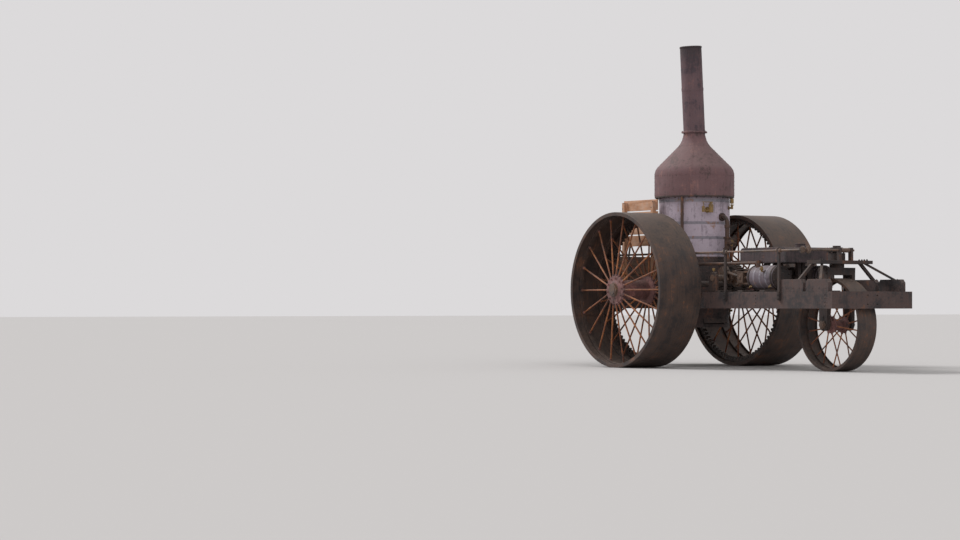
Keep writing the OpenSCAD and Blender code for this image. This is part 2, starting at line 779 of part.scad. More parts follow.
// A round plate with its strap, latch knob and, inside, a baffle plate.
module fire_door() {
    door_r = fire_hole_r + 32;
    baffle_off = 40;
    baffle_t = 12;
    strap_t = 12;
    strap_half = 22;
    knuckle_half = 60;
    knob_x = 60;
    pin_x = fire_door_x - fire_door_t / 2;
    out = fire_door_x - 6 - fire_door_t;
    color("#4a3a36") from_axle() translate([0, 0, fire_hole_z]) difference() {
        union() {
            rod_x(door_r, out, out + fire_door_t);
            rod_x(30, out, out + baffle_off + baffle_t);
            rod_x(fire_hole_r - 35, out + baffle_off, out + baffle_off + baffle_t);
            block([out - strap_t, -door_r / 2, -strap_half], [out, hinge_y - 10, strap_half]);
            translate([pin_x, hinge_y, -knuckle_half]) cylinder(r = 2 * hinge_pin, h = 2 * knuckle_half);
            block([out - strap_t, hinge_y - 2 * hinge_pin, -strap_half], [pin_x, hinge_y + 10, strap_half]);
            translate([0, 40 - door_r, 0]) rod_x(12, out - knob_x, out);
            translate([out - knob_x, 40 - door_r, 0]) sphere(r = 20);
        }
        translate([pin_x, hinge_y, -knuckle_half - 1])
            cylinder(r = hinge_pin + 0.5, h = 2 * knuckle_half + 2);
    }
}

// The exhaust climbs beside the barrel to the hood's foot ring.
module exhaust_pipe() {
    r = 24;
    bend = 90;
    run_z = tank_z;
    drop_x = cyl_x + 150;
    collar = 12;
    color("#3b3330") from_axle() translate([0, exhaust_at[1], 0]) difference() {
        union() {
            translate([exhaust_at[0], 0, run_z + bend])
                cylinder(r = r, h = shell_top - foot_ring_t - seat - run_z - bend);
            translate([exhaust_at[0] + bend, 0, run_z + bend]) rotate([90, 0, 0])
                rotate([0, 0, 180]) rotate_extrude(angle = 90) translate([bend, 0]) circle(r = r);
            translate([0, 0, run_z]) rod_x(r, exhaust_at[0] + bend, drop_x);
            translate([drop_x, 0, run_z - 80]) cylinder(r = r + collar, h = 80 + r + collar);
        }
        translate([0, -cyl_y - exhaust_at[1], engine_z]) rod_x(cyl_r + seat, cyl_x, cyl_x + cyl_l);
    }
}

// Steam runs down in front of the barrel and forward to both valve chests.
module steam_pipe() {
    r = steam_pipe_r;
    bend = 110;
    flange_t = 16;
    body_half = 74;
    hand_out = r + 112;
    hand_r = 62;
    top = shell_top - 340;
    down_x = shell_r + 130;
    run_z = engine_z + crank_r + r + 34;
    tee_x = cyl_x + 200;
    branch_z = engine_z + 70;
    color("#3b3330") from_axle() difference() {
        translate([0, steam_pipe_y, 0]) {
            translate([0, 0, top]) rod_x(r, 0, down_x - bend);
            translate([0, 0, top]) rod_x(r + 30, 0, shell_r + 14);
            translate([down_x - bend, 0, top - bend]) rotate([90, 0, 0])
                rotate_extrude(angle = 90) translate([bend, 0]) circle(r = r);
            translate([down_x, 0, run_z + bend]) cylinder(r = r, h = top - run_z - 2 * bend);
            translate([down_x, 0, throttle_z]) {
                for (z = [-body_half - flange_t, body_half])
                    translate([0, 0, z]) cylinder(r = r + 34, h = flange_t);
                translate([0, 0, -body_half]) cylinder(r = r + 12, h = 2 * body_half);
                rod_x(r + 4, 0, r + 46);
                rod_x(9, 0, hand_out + 8);
                translate([hand_out, 0, 0]) rotate([0, 90, 0]) rotate_extrude($fn = 48)
                    translate([hand_r, 0]) circle(r = 7, $fn = 24);
                translate([hand_out, 0, 0]) for (i = [0 : 3])
                    rotate([i * 90, 0, 0]) cylinder(r = 6, h = hand_r);
            }
            translate([down_x + bend, 0, run_z + bend]) rotate([90, 0, 0])
                rotate([0, 0, 180]) rotate_extrude(angle = 90) translate([bend, 0]) circle(r = r);
            translate([0, 0, run_z]) rod_x(r, down_x + bend, tee_x);
            translate([tee_x, 0, branch_z - 30]) cylinder(r = r + 4, h = run_z + r + 8 - branch_z + 30);
            translate([tee_x, 0, branch_z])
                rod_y(r - 6, seat - chest_in - steam_pipe_y, chest_in - steam_pipe_y - seat);
        }
        translate([0, 0, top - 200]) cylinder(r = barrel_r + seat, h = 400, $fn = 96);
    }
}

// Fittings screwed into the barrel: a safety valve and a whistle in front, a
// pressure gauge and the water column with its three try cocks at the back.
module boiler_fittings() {
    side_y = 330;
    valve_at = [shell_r + 74, -160, shell_top - 230];
    whistle_at = [shell_r - 20, side_y, shell_top - 190];
    column_at = [130 - shell_r, side_y, firebox_top + 110];
    column_h = 380;
    gauge_x = -shell_r - 60;
    gauge_z = shell_top - 300;
    color("#6f5a3c") from_axle() difference() {
        union() {
            translate([0, valve_at[1], valve_at[2]]) rod_x(26, 0, valve_at[0]);
            translate(valve_at) {
                translate([0, 0, -46]) cylinder(r = 38, h = 120);
                translate([0, 0, 74]) cylinder(r1 = 38, r2 = 22, h = 20);
                translate([0, 0, 94]) cylinder(r = 22, h = 30);
                block([-14, -170, 112], [14, 30, 122]);
                translate([0, -150, -40]) cylinder(r = 7, h = 158);
                translate([0, -150, -40]) cylinder(r = 24, h = 90);
                block([-8, -150, -20], [8, 0, -6]);
            }
            translate([0, whistle_at[1], whistle_at[2]]) rod_x(16, 0, whistle_at[0]);
            translate(whistle_at) {
                translate([0, 0, -20]) cylinder(r = 20, h = 60);
                translate([0, 0, 40]) cylinder(r = 34, h = 12);
                translate([0, 0, 52]) cylinder(r = 8, h = 16);
                translate([0, 0, 68]) cylinder(r = 30, h = 76);
            }
            for (z = [30, column_h - 30])
                translate([0, column_at[1], column_at[2] + z]) rod_x(20, column_at[0], 0);
            translate(column_at) {
                cylinder(r = 34, h = column_h);
                for (z = [90, 190, 290]) {
                    translate([0, 0, z]) rod_x(13, -90, 0);
                    translate([-70, 0, z]) rod_y(9, 0, 50);
                }
            }
            translate([0, 0, gauge_z]) rod_x(15, gauge_x, 0);
            translate([0, 0, gauge_z]) rod_x(96, gauge_x - 46, gauge_x);
        }
        translate([0, 0, firebox_top - 1]) cylinder(r = barrel_r + seat, h = shell_top - firebox_top, $fn = 96);
        translate([0, 0, gauge_z]) rod_x(84, gauge_x - 50, gauge_x - 34);
    }
}

// Two long beds on cross bars that rest on the rails.
module engine_bed() {
    x0 = crank_x - 110;
    x1 = cyl_x + cyl_l + 10;
    color("#433938") from_axle() {
        both_sides() block([x0, cyl_y - 90, rail_top], [x1, cyl_y + 90, bed_top]);
        for (x = bed_bars)
            block([x, -rail_outer, rail_top], [x + 120, rail_outer, rail_top + bar_t]);
    }
}

// Lagged barrels with flanged covers and valve chests on their inner sides.
module cylinders() {
    band = 30;
    color("#53494c") from_axle() both_sides() translate([0, cyl_y, engine_z]) {
        rod_x(cyl_r, cyl_x, cyl_x + cyl_l);
        for (x = [cyl_x + 20, cyl_x + cyl_l - 20 - band]) rod_x(cyl_r + 8, x, x + band);
        block([cyl_x + 80, chest_in - cyl_y, -110], [cyl_x + cyl_l - 80, -60, 110]);
        block([cyl_x + 60, -70, bed_top - engine_z + seat], [cyl_x + cyl_l - 60, 70, 0]);
    }
}

function pin_x(a) = crank_x + crank_throw * cos(a);
function pin_z(a) = engine_z + crank_throw * sin(a);
function head_x(a) = pin_x(a) + sqrt(pow(rod_l, 2) - pow(crank_throw * sin(a), 2));

// Connecting rods, crossheads with their slide bars, and piston rods.
module running_gear() {
    color("#6d5c50") from_axle() for (row = crank_angles) {
        side = row[0];
        a = row[1];
        tilt = atan2(engine_z - pin_z(a), head_x(a) - pin_x(a));
        slide_in = 77;
        slide_t = 24;
        slot = 23;
        translate([0, side * cyl_y, 0]) {
            difference() {
                translate([pin_x(a), 0, pin_z(a)]) rotate([0, -tilt, 0]) union() {
                    rod_x(24, 50, rod_l - 30);
                    rod_y(62, -26, 26);
                    translate([rod_l, 0, 0]) rod_y(42, 1 - slot, slot - 1);
                }
                translate([pin_x(a), 0, pin_z(a)]) rod_y(crank_pin_r + run_fit, -40, 40);
            }
            translate([head_x(a), 0, engine_z]) difference() {
                block([-70, -60, -75], [70, 60, 75]);
                block([-80, -slot, -60], [45, slot, 60]);
            }
            translate([0, 0, engine_z]) rod_x(26, head_x(a) + 60, cyl_x - seat);
            for (z = [slide_in, -slide_in - slide_t])
                block([crank_x + rod_l - crank_throw - 90, -45, engine_z + z],
                    [cyl_x - seat, 45, engine_z + z + slide_t]);
        }
    }
}

// A flat bar between two [x, z] points.
module bar_y(y0, y1, from, to, width) {
    along = to - from;
    across = [-along[1], along[0]] * width / 2 / norm(along);
    slab_y(y0, y1, [from - across, to - across, to + across, from + across]);
}

module eccentric(y, angle, rise) {
    centre = [crank_x + ecc_throw * cos(angle), engine_z + ecc_throw * sin(angle)];
    eye = [link_x, engine_z + rise];
    translate([centre[0], 0, centre[1]]) rod_y(strap_r, y, y + strap_w);
    bar_y(y + 6, y + strap_w - 6, centre, eye, 38);
    translate([eye[0], 0, eye[1]]) rod_y(26, y, y + strap_w);
    translate([eye[0], 0, eye[1]]) rod_y(13, min(y, link_y0), max(y, link_y0) + strap_w);
}

// Two eccentrics to a side drive the ends of a curved link that moves the
// valve stem. They have rusted solid with the shaft.
module valve_gear() {
    link_r = link_x - crank_x;
    color("#6d5c50") from_axle() for (row = crank_angles) mirror([0, row[0] > 0 ? 0 : 1, 0])
        difference() {
            union() {
                eccentric(gear_y0, row[1] + 110, link_rise);
                eccentric(link_y0 + strap_w + 10, row[1] - 110, -link_rise);
                intersection() {
                    translate([crank_x, 0, engine_z]) difference() {
                        rod_y(link_r + 22, link_y0, link_y0 + strap_w, $fn = 180);
                        rod_y(link_r - 22, link_y0 - 1, link_y0 + strap_w + 1, $fn = 180);
                    }
                    block([link_x - 60, 0, engine_z - link_rise - 35],
                        [link_x + 60, cyl_y, engine_z + link_rise + 35]);
                }
                translate([0, link_y0 + strap_w / 2, engine_z]) {
                    rod_x(14, link_x, cyl_x - seat);
                    rod_x(30, cyl_x - 40, cyl_x - seat);
                    block([link_x - 34, -strap_w, -26], [link_x + 34, strap_w, 26]);
                }
            }
            translate([crank_x, 0, engine_z]) rod_y(crank_r + run_fit, 0, cyl_y);
        }
}

// Built-up crankshaft: webs, pins, journals and the pinion between them.
module crankshaft() {
    web_t = 34;
    pin_half = 30;
    web_out = pin_half + web_t;
    color("#5a4c47") from_axle() {
        for (row = crank_angles) translate([crank_x, row[0] * cyl_y, engine_z]) rotate([0, -row[1], 0]) {
            for (y = [-web_out, pin_half])
                block([-crank_r - 20, y, -60], [crank_throw + 55, y + web_t, 60]);
            translate([crank_throw, 0, 0]) rod_y(crank_pin_r, -pin_half - 1, pin_half + 1);
        }
        translate([crank_x, 0, engine_z]) {
            rod_y(crank_r, web_out - cyl_y - 1, cyl_y - web_out + 1);
            both_sides() rod_y(crank_r, cyl_y + web_out - 1, rail_outer - 20);
            rotate([0, -crank_mesh, 0]) gear_y(crank_teeth, spur_module, 5 - spur_half, spur_half - 5);
        }
    }
}

module flywheel() {
    y1 = rail_inner - 26;
    y0 = y1 - flywheel_w;
    rim_depth = 45;
    arms = 6;
    color("#4a4040") from_axle() translate([crank_x, 0, engine_z]) {
        turned_y() polygon([
            [flywheel_r, y0], [flywheel_r, y1],
            [flywheel_r - rim_depth, y1], [flywheel_r - rim_depth, y0]]);
        difference() {
            union() {
                rod_y(crank_r + 40, y0 - 4, y1 + 4);
                for (i = [0 : arms - 1]) rotate([0, i * 360 / arms + 20, 0])
                    block([crank_r + 20, y0 + 25, -24], [flywheel_r - rim_depth + 5, y1 - 25, 24]);
            }
            rod_y(crank_r + run_fit, y0 - 10, y1 + 10);
        }
    }
}

// The spur gear is dished on both faces. The pinions are drawn inboard, clear
// of the bull gears.
module countershaft() {
    dish = 30;
    color("#5a4c47") from_axle() translate([counter_x, 0, counter_z]) {
        rod_y(counter_r, -pinion_out, pinion_out);
        both_sides() gear_y(pinion_teeth, bull_module, rail_outer + 10, pinion_out - 1);
        rotate([0, -mesh_line, 0]) difference() {
            gear_y(spur_teeth, spur_module, -spur_half, spur_half);
            for (y = [-spur_half - 1, spur_half + 1 - dish]) translate([0, y, 0]) difference() {
                rod_y(spur_module * spur_teeth / 2 - 50, 0, dish);
                rod_y(counter_r + 45, -1, dish + 1);
            }
        }
    }
}

module bearing(x, z, r, y0, y1) {
    block_r = r + 45;
    difference() {
        union() {
            block([x - block_r, y0, rail_top], [x + block_r, y1, z]);
            translate([x, 0, z]) rod_y(block_r, y0, y1);
        }
        translate([x, 0, z]) rod_y(r + run_fit, y0 - 1, y1 + 1);
    }
}

module counter_bearings() {
    color("#463c3b") from_axle() both_sides() {
        bearing(counter_x, counter_z, counter_r, rail_inner, rail_outer);
        bearing(crank_x, engine_z, crank_r, rail_inner, rail_outer - 30);
    }
}

// Riveted tank with rounded edges and a filler neck.
module water_tank() {
    edge = 40;
    filler_h = 60;
    color("#453c3e") from_axle() translate([tank_x, 0, tank_z]) {
        translate([0, tank_w / 2, 0]) rotate([90, 0, 0]) linear_extrude(tank_w) {
            polygon([[0, 0], [tank_l, 0], [tank_l, tank_h - edge], [tank_l - edge, tank_h],
                [edge, tank_h], [0, tank_h - edge]]);
        }
        translate([tank_l - 220, 0, tank_h]) difference() {
            cylinder(r = filler_r + 12, h = filler_h);
            translate([0, 0, 10]) cylinder(r = filler_r, h = filler_h);
        }
    }
}

module tank_posts() {
    post_l = 70;
    color("#3b3330") from_axle() both_sides() for (x = [bed_bars[1] + 25, bed_bars[2] + 25])
        block([x, 12, rail_top + bar_t + seat], [x + post_l, 72, tank_z - seat]);
}

module deck_planks() {
    x1 = -shell_r - 60;
    pitch = (x1 + rail_rear) / planks_n;
    half_gap = 4;
    color("#7d6a55") from_axle() for (i = [0 : planks_n - 1])
        block([-rail_rear + i * pitch + half_gap, -plank_edge, rail_top],
            [-rail_rear + (i + 1) * pitch - half_gap, plank_edge, deck_z]);
}

// An open box of boards on the back of the deck.
module fuel_bunker() {
    x0 = -rail_rear + 40;
    x1 = x0 + bunker_l;
    y = plank_edge - 30;
    board = 32;
    color("#8a7258") from_axle() difference() {
        block([x0, -y, deck_z + seat], [x1, y, deck_z + bunker_h]);
        block([x0 + board, -y + board, deck_z - 1], [x1 - board, y - board, deck_z + bunker_h + 1]);
    }
}

// The reversing lever in its notched quadrant and the throttle lever beside
// it stand on the deck in reach of the hand wheel.
module control_levers() {
    lever_x = hand_x + 110;
    lever_y = -rail_inner + 90;
    arc_r = 430;
    lever_h = 860;
    plate_t = 14;
    color("#3f3634") from_axle() translate([lever_x, lever_y, deck_z + seat]) {
        difference() {
            union() {
                block([-170, -plate_t, 0], [170, plate_t, 12]);
                slab_y(-plate_t, 0, [[-60, 0], [60, 0], [250, arc_r - 40], [-250, arc_r - 40]]);
                intersection() {
                    rod_y(arc_r, -plate_t, 0, $fn = 120);
                    block([-270, -plate_t - 1, arc_r - 130], [270, 1, arc_r + 20]);
                }
            }
            slab_y(-plate_t - 1, 1, [[-34, 60], [34, 60], [190, arc_r - 110], [-190, arc_r - 110]]);
            for (a = [-30 : 6 : 30])
                rotate([0, a, 0]) block([-5, -plate_t - 1, arc_r - 12], [5, 1, arc_r + 5]);
        }
        for (row = [[0, 14, 14, lever_h], [-plate_t - 14, -plate_t, -22, lever_h - 160]])
            rotate([0, row[2], 0]) {
                slab_y(row[0], row[1], [[-26, 20], [26, 20], [13, row[3]], [-13, row[3]]]);
                translate([0, (row[0] + row[1]) / 2, row[3] - 10]) cylinder(r = 17, h = 130);
            }
        translate([0, 0, 50]) rod_y(16, -plate_t - 26, 26);
    }
}

// Flat braces in line with the drawbar, from the rear cross member forward and
// up to the one behind the boiler.
module drawbar_braces() {
    brace_y = 150;
    brace_t = 16;
    brace_h = 80;
    back_x = cross_l - rail_rear + seat;
    head_x = cross_places[1] + cross_l - cross_web - seat;
    low = rail_bottom + 30;
    rise = 80;
    flat = 90;
    color("#40383a") from_axle() both_sides() slab_y(brace_y, brace_y + brace_t, [
        [back_x, low], [back_x, low + brace_h],
        [head_x - flat, low + rise + brace_h], [head_x, low + rise + brace_h],
        [head_x, low + rise], [head_x - flat, low + rise]]);
}

// Wooden side racks beside the boiler, each on two posts from the rail.
module side_racks() {
    x1 = -axle_r - 40;
    x0 = x1 - rack_l;
    boards = 4;
    board_h = 170;
    board_t = 28;
    gap = 20;
    post_w = 70;
    post_y = rail_inner;
    color("#c39c73") from_axle() both_sides() {
        for (i = [0 : boards - 1])
            block([x0, post_y - board_t, rack_top - (i + 1) * (board_h + gap) + gap],
                [x1, post_y, rack_top - i * (board_h + gap)]);
        for (x = [x0 + 30, x1 - post_w - 20])
            block([x, post_y, (x < -shell_r ? deck_z : rail_top) + seat],
                [x + post_w, post_y + 60, rack_top - 30]);
    }
}

rail_right();
rail_left();
cross_members();
front_beam();
drawbar();
axle_brackets();
stub_axles();
drive_rim_right();
drive_spokes_right();
drive_hub_right();
bull_gear_right();
drive_rim_left();
drive_spokes_left();
drive_hub_left();
bull_gear_left();
rail_shoes();
pedestal_legs();
pedestal_head();
steering_yoke();
worm_wheel();
front_axle();
front_rim();
front_spokes();
front_hub();
worm_shaft();
shaft_posts();
steering_shaft();
hand_wheel();
firebox();
ash_pan();
boiler_barrel();
boiler_brackets();
smoke_hood();
stack();
fire_door_frame();
fire_door();
exhaust_pipe();
steam_pipe();
boiler_fittings();
engine_bed();
cylinders();
running_gear();
valve_gear();
crankshaft();
flywheel();
countershaft();
counter_bearings();
water_tank();
tank_posts();
deck_planks();
fuel_bunker();
side_racks();
control_levers();
drawbar_braces();
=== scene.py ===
import json
import math
import bmesh
import bpy
import numpy as np
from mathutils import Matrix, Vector

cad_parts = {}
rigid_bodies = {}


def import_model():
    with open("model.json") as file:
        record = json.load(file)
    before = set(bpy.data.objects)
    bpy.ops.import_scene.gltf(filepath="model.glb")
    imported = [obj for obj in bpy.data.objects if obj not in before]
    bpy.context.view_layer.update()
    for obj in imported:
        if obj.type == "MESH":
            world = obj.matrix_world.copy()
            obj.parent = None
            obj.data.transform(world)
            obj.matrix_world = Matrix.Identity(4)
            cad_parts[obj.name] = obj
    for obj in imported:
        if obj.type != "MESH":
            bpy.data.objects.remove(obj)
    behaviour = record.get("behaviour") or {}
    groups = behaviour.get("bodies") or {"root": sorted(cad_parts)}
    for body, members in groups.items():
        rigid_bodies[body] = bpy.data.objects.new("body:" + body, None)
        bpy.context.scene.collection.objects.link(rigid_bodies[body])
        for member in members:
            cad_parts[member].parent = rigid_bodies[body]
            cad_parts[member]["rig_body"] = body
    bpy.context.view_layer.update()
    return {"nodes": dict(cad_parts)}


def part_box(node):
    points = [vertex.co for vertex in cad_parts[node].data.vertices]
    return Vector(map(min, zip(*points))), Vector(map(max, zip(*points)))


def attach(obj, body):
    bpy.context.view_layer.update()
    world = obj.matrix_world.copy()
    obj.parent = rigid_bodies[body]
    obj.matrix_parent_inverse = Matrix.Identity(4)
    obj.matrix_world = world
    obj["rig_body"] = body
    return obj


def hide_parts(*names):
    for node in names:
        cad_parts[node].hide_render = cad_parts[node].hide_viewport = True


for stray in list(bpy.data.objects):
    bpy.data.objects.remove(stray)
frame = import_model()
nodes = frame["nodes"]

# The camera. It stands well ahead of the engine on its right side, at the
# height of the hubs, and looks back at it through a long lens.
camera_at, sight_rise = (29.96, -23.32, 0.98), math.radians(0.84)
camera = bpy.data.objects.new("camera", bpy.data.cameras.new("camera"))
bpy.context.scene.collection.objects.link(camera)
camera.data.lens = 90
camera.data.sensor_width = 36
camera.data.clip_end = 400
camera.location = camera_at
sight = Vector((-0.848, 0.53, math.tan(sight_rise)))
camera.rotation_euler = sight.to_track_quat("-Z", "Y").to_euler()
bpy.context.scene.camera = camera


# Side rails, cross members, front beam and shoes. Rolled steel channels are
# riveted together through angle cleats; the black paint has gone to a thin
# brown rust, and dust lies on every top face.
mm = 0.001
ahead, left, up = np.eye(3)


def middle(node):
    """The centre of a CAD node's box."""
    return np.mean(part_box(node), axis=0)


def sized(*values):
    """Lengths, or the corners of an outline, given in mm and wanted in metres."""
    return np.array(values) * mm


def unit(rows):
    """Each row over its own length."""
    return rows / np.linalg.norm(rows, axis=-1, keepdims=True)


def linear(code):
    """Linear RGBA of an sRGB hex colour: c/12.92 below 0.04045, else ((c+0.055)/1.055)^2.4."""
    c = np.array([int(code[i:i + 2], 16) for i in (1, 3, 5)]) / 255
    c = np.where(c <= 0.04045, c / 12.92, ((c + 0.055) / 1.055) ** 2.4)
    return (*c, 1.0)


def add(tree, kind, **given):
    """A node of that kind. Each given name is a setting of the node or an input, with _ for a space and
    in_2 for its third input. An output socket is linked to it, a node by its first output, and any other
    value is set."""
    node = tree.nodes.new("ShaderNode" + kind)
    for name, value in given.items():
        if name in node.bl_rna.properties:
            setattr(node, name, value)
            continue
        socket = node.inputs[int(name[3:]) if name.startswith("in_") else name.replace("_", " ")]
        if isinstance(value, bpy.types.Node):
            value = value.outputs[0]
        if isinstance(value, bpy.types.NodeSocket):
            tree.links.new(value, socket)
        else:
            socket.default_value = value
    return node


def blank(name):
    """A new material, its emptied node tree and the node that gives the object's own coordinates."""
    finish = bpy.data.materials.new(name)
    finish.use_nodes = True
    finish.node_tree.nodes.clear()
    return finish, finish.node_tree, add(finish.node_tree, "TexCoord")


def ramped(tree, tone, *stops):
    """The colour that a tone picks between stops, each a place from 0 to 1 and a hex colour."""
    ramp = add(tree, "ValToRGB", Fac=tone)
    for spot, code in stops:
        ramp.color_ramp.elements.new(spot).color = linear(code)
    for end in (0, -1):
        ramp.color_ramp.elements.remove(ramp.color_ramp.elements[end])
    return ramp


def rusted_iron(name, scale_skin, brown, orange, worn, dust, patch=0.5, orange_from=0.6,
                streaks=0.3, rough=(0.62, 0.9), bare=0.0, dusty=0.5, pits=1.0, stain_and_shade=None,
                drawn=(22, 22, 1.6), dents=0.0):
    """Iron whose mill scale has rusted. Noise of 300 mm patches and 40 mm blotches picks the colour from
    scale to brown to orange, 4 mm grit pits it, and dust lies where the surface looks up. Its runs are a
    noise of drawn cells a metre on each axis. stain_and_shade is (colour, height where it starts, height
    where it is full), in metres: that colour comes in with height, ragged with the runs, as real soot on the
    stack and as painted shade of the hood's overhang on the jacket. dents are knocks of 200 mm, that many
    millimetres deep."""
    finish, tree, place = blank(name)
    here = place.outputs["Object"]
    patches = add(tree, "TexNoise", Vector=here, Scale=1 / 0.30, Detail=7, Roughness=0.62)
    blotches = add(tree, "TexNoise", Vector=here, Scale=1 / 0.04, Detail=5, Roughness=0.6)
    flakes = add(tree, "TexVoronoi", Vector=here, Scale=1 / 0.018, Randomness=1)
    grit = add(tree, "TexNoise", Vector=here, Scale=1 / 0.004, Detail=3, Roughness=0.7)
    long_way = add(tree, "Mapping", Vector=here, Scale=drawn)
    runs = add(tree, "TexNoise", Vector=long_way, Scale=1, Detail=6, Roughness=0.65)
    both = add(tree, "Math", operation="MULTIPLY_ADD", in_0=blotches, in_1=0.55, in_2=patches)
    age = add(tree, "Math", operation="MULTIPLY_ADD", in_0=runs, in_1=streaks, in_2=both)
    mean_age, spread = 0.5 + 0.275 + 0.5 * streaks, 0.34
    tone = add(tree, "MapRange", Value=age, From_Min=mean_age - spread, From_Max=mean_age + spread)
    rust = ramped(tree, tone, (patch - 0.22, scale_skin), (patch, brown), (orange_from, brown),
                  (min(orange_from + 0.2, 1), orange))
    speck = add(tree, "MapRange", Value=grit, From_Min=0.25, From_Max=0.75, To_Min=0.72, To_Max=1.28)
    colour = add(tree, "MixRGB", blend_type="MULTIPLY", Fac=1.0, Color1=rust, Color2=speck)
    # A colour that comes in with height: real soot on the stack, painted shade of the hood's overhang on the
    # jacket.
    if stain_and_shade:
        height_of = add(tree, "SeparateXYZ", Vector=here)
        upper_band = add(tree, "MapRange", Value=height_of.outputs["Z"], From_Min=stain_and_shade[1], From_Max=stain_and_shade[2])
        ragged = add(tree, "Math", operation="MULTIPLY_ADD", in_0=runs, in_1=1.3, in_2=-0.65)
        reach = add(tree, "Math", operation="ADD", use_clamp=True, in_0=upper_band, in_1=ragged)
        kept = add(tree, "Math", operation="MULTIPLY", in_0=reach, in_1=upper_band)
        colour = add(tree, "MixRGB", Fac=kept, Color1=colour, Color2=linear(stain_and_shade[0]))
    facing = add(tree, "SeparateXYZ", Vector=place.outputs["Normal"])
    upward = add(tree, "MapRange", Value=facing.outputs["Z"], From_Min=0.35, From_Max=1.0)
    settled = add(tree, "MapRange", Value=blotches, From_Min=0.3, From_Max=0.62, To_Min=0.25, To_Max=1)
    lying = add(tree, "Math", operation="MULTIPLY", in_0=upward, in_1=settled)
    powder = add(tree, "Math", operation="MULTIPLY", in_0=lying, in_1=dusty)
    dusted = add(tree, "MixRGB", Fac=powder, Color1=colour, Color2=linear(dust))
    rubbed = add(tree, "MapRange", Value=flakes, From_Min=0.0, From_Max=0.55, To_Min=1, To_Max=0)
    shine = add(tree, "Math", operation="MULTIPLY", in_0=rubbed, in_1=bare)
    final = add(tree, "MixRGB", Fac=shine, Color1=dusted, Color2=linear(worn))
    dull = add(tree, "MapRange", Value=blotches, From_Min=0.3, From_Max=0.7,
               To_Min=rough[0], To_Max=rough[1])
    height = add(tree, "Math", operation="MULTIPLY_ADD", in_0=blotches, in_1=2.0, in_2=grit)
    relief = add(tree, "Bump", Strength=0.55 * pits, Distance=0.0012, Height=height)
    if dents:
        knocks = add(tree, "TexNoise", Vector=here, Scale=1 / 0.20, Detail=1.5, Roughness=0.4)
        relief = add(tree, "Bump", Strength=0.8, Distance=dents * mm, Height=knocks, Normal=relief)
    shader = add(tree, "BsdfPrincipled", Base_Color=final, Metallic=shine, Roughness=dull, Normal=relief)
    add(tree, "OutputMaterial", Surface=shader)
    return finish


def dressed(node, finish, edge=2.5, keen=35):
    """The CAD node's own surface, its doubles merged and its flat facets joined, with every edge
    sharper than keen degrees broken by edge millimetres, as castings and rolled sections have."""
    source = nodes[node]
    mesh = source.data.copy()
    piece = bpy.data.objects.new(node + "_dressed", mesh)
    bpy.context.scene.collection.objects.link(piece)
    mesh.materials.clear()
    mesh.materials.append(finish)
    work = bmesh.new()
    work.from_mesh(mesh)
    bmesh.ops.remove_doubles(work, verts=work.verts, dist=0.02 * mm)
    bmesh.ops.dissolve_degenerate(work, edges=work.edges, dist=0.02 * mm)
    bmesh.ops.dissolve_limit(work, angle_limit=math.radians(0.4), verts=work.verts, edges=work.edges,
                             delimit={"NORMAL"})
    work.to_mesh(mesh)
    work.free()
    if "custom_normal" in mesh.attributes:
        mesh.attributes.remove(mesh.attributes["custom_normal"])
    mesh.shade_smooth()
    mesh.set_sharp_from_angle(angle=math.radians(keen))
    if edge:
        broken = piece.modifiers.new("broken_edges", "BEVEL")
        broken.width = edge * mm
        broken.segments = 1
        broken.limit_method = "ANGLE"
        broken.angle_limit = math.radians(keen)
        broken.harden_normals = True
        broken.use_clamp_overlap = True
    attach(piece, source["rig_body"])
    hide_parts(node)
    return piece


def surface(name, parts, finish, body="chassis", keen=40):
    """One mesh of several grids of points. Each part is (grid, loop): grid is copies x rows x columns x 3,
    columns close round each row, rows join in order, and a fan to each end row's mean closes the ends,
    or with loop the last row joins the first. A copy whose enclosed volume is negative is turned round."""
    points, faces, first = [], [], 0
    for grid, loop in parts:
        copies, rows, cols, _ = grid.shape
        at = np.arange(copies * rows * cols).reshape(copies, rows, cols)
        beside = np.roll(at, -1, axis=2)
        low, low2, high, high2 = (at, beside, np.roll(at, -1, 1), np.roll(beside, -1, 1)) if loop else \
            (at[:, :-1], beside[:, :-1], at[:, 1:], beside[:, 1:])
        quads = np.stack([low, low2, high2, high], -1).reshape(copies, -1, 4)
        cloud = grid.reshape(-1, 3)
        triangles = np.concatenate([quads[..., [0, 1, 2]], quads[..., [0, 2, 3]]], 1)
        if not loop:
            tips = len(cloud) + np.arange(copies)[:, None]
            cloud = np.concatenate([cloud, grid[:, 0].mean(1), grid[:, -1].mean(1)])
            start = np.stack([np.broadcast_to(tips, (copies, cols)), beside[:, 0], at[:, 0]], -1)
            end = np.stack([np.broadcast_to(tips + copies, (copies, cols)), at[:, -1], beside[:, -1]], -1)
            fans = np.concatenate([start, end], 1)
            triangles = np.concatenate([triangles, fans], 1)
        a, b, c = (cloud[triangles[..., k]] for k in range(3))
        turned_in = np.einsum("nfk,nfk->n", a, np.cross(b, c)) < 0
        quads[turned_in] = quads[turned_in][..., ::-1]
        faces += (quads.reshape(-1, 4) + first).tolist()
        if not loop:
            fans[turned_in] = fans[turned_in][..., ::-1]
            faces += (fans.reshape(-1, 3) + first).tolist()
        points.append(cloud)
        first += len(cloud)
    mesh = bpy.data.meshes.new(name)
    mesh.from_pydata(np.concatenate(points).tolist(), [], faces)
    mesh.update()
    mesh.shade_smooth()
    mesh.set_sharp_from_angle(angle=math.radians(keen))
    mesh.materials.append(finish)
    piece = bpy.data.objects.new(name, mesh)
    bpy.context.scene.collection.objects.link(piece)
    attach(piece, body)
    return piece


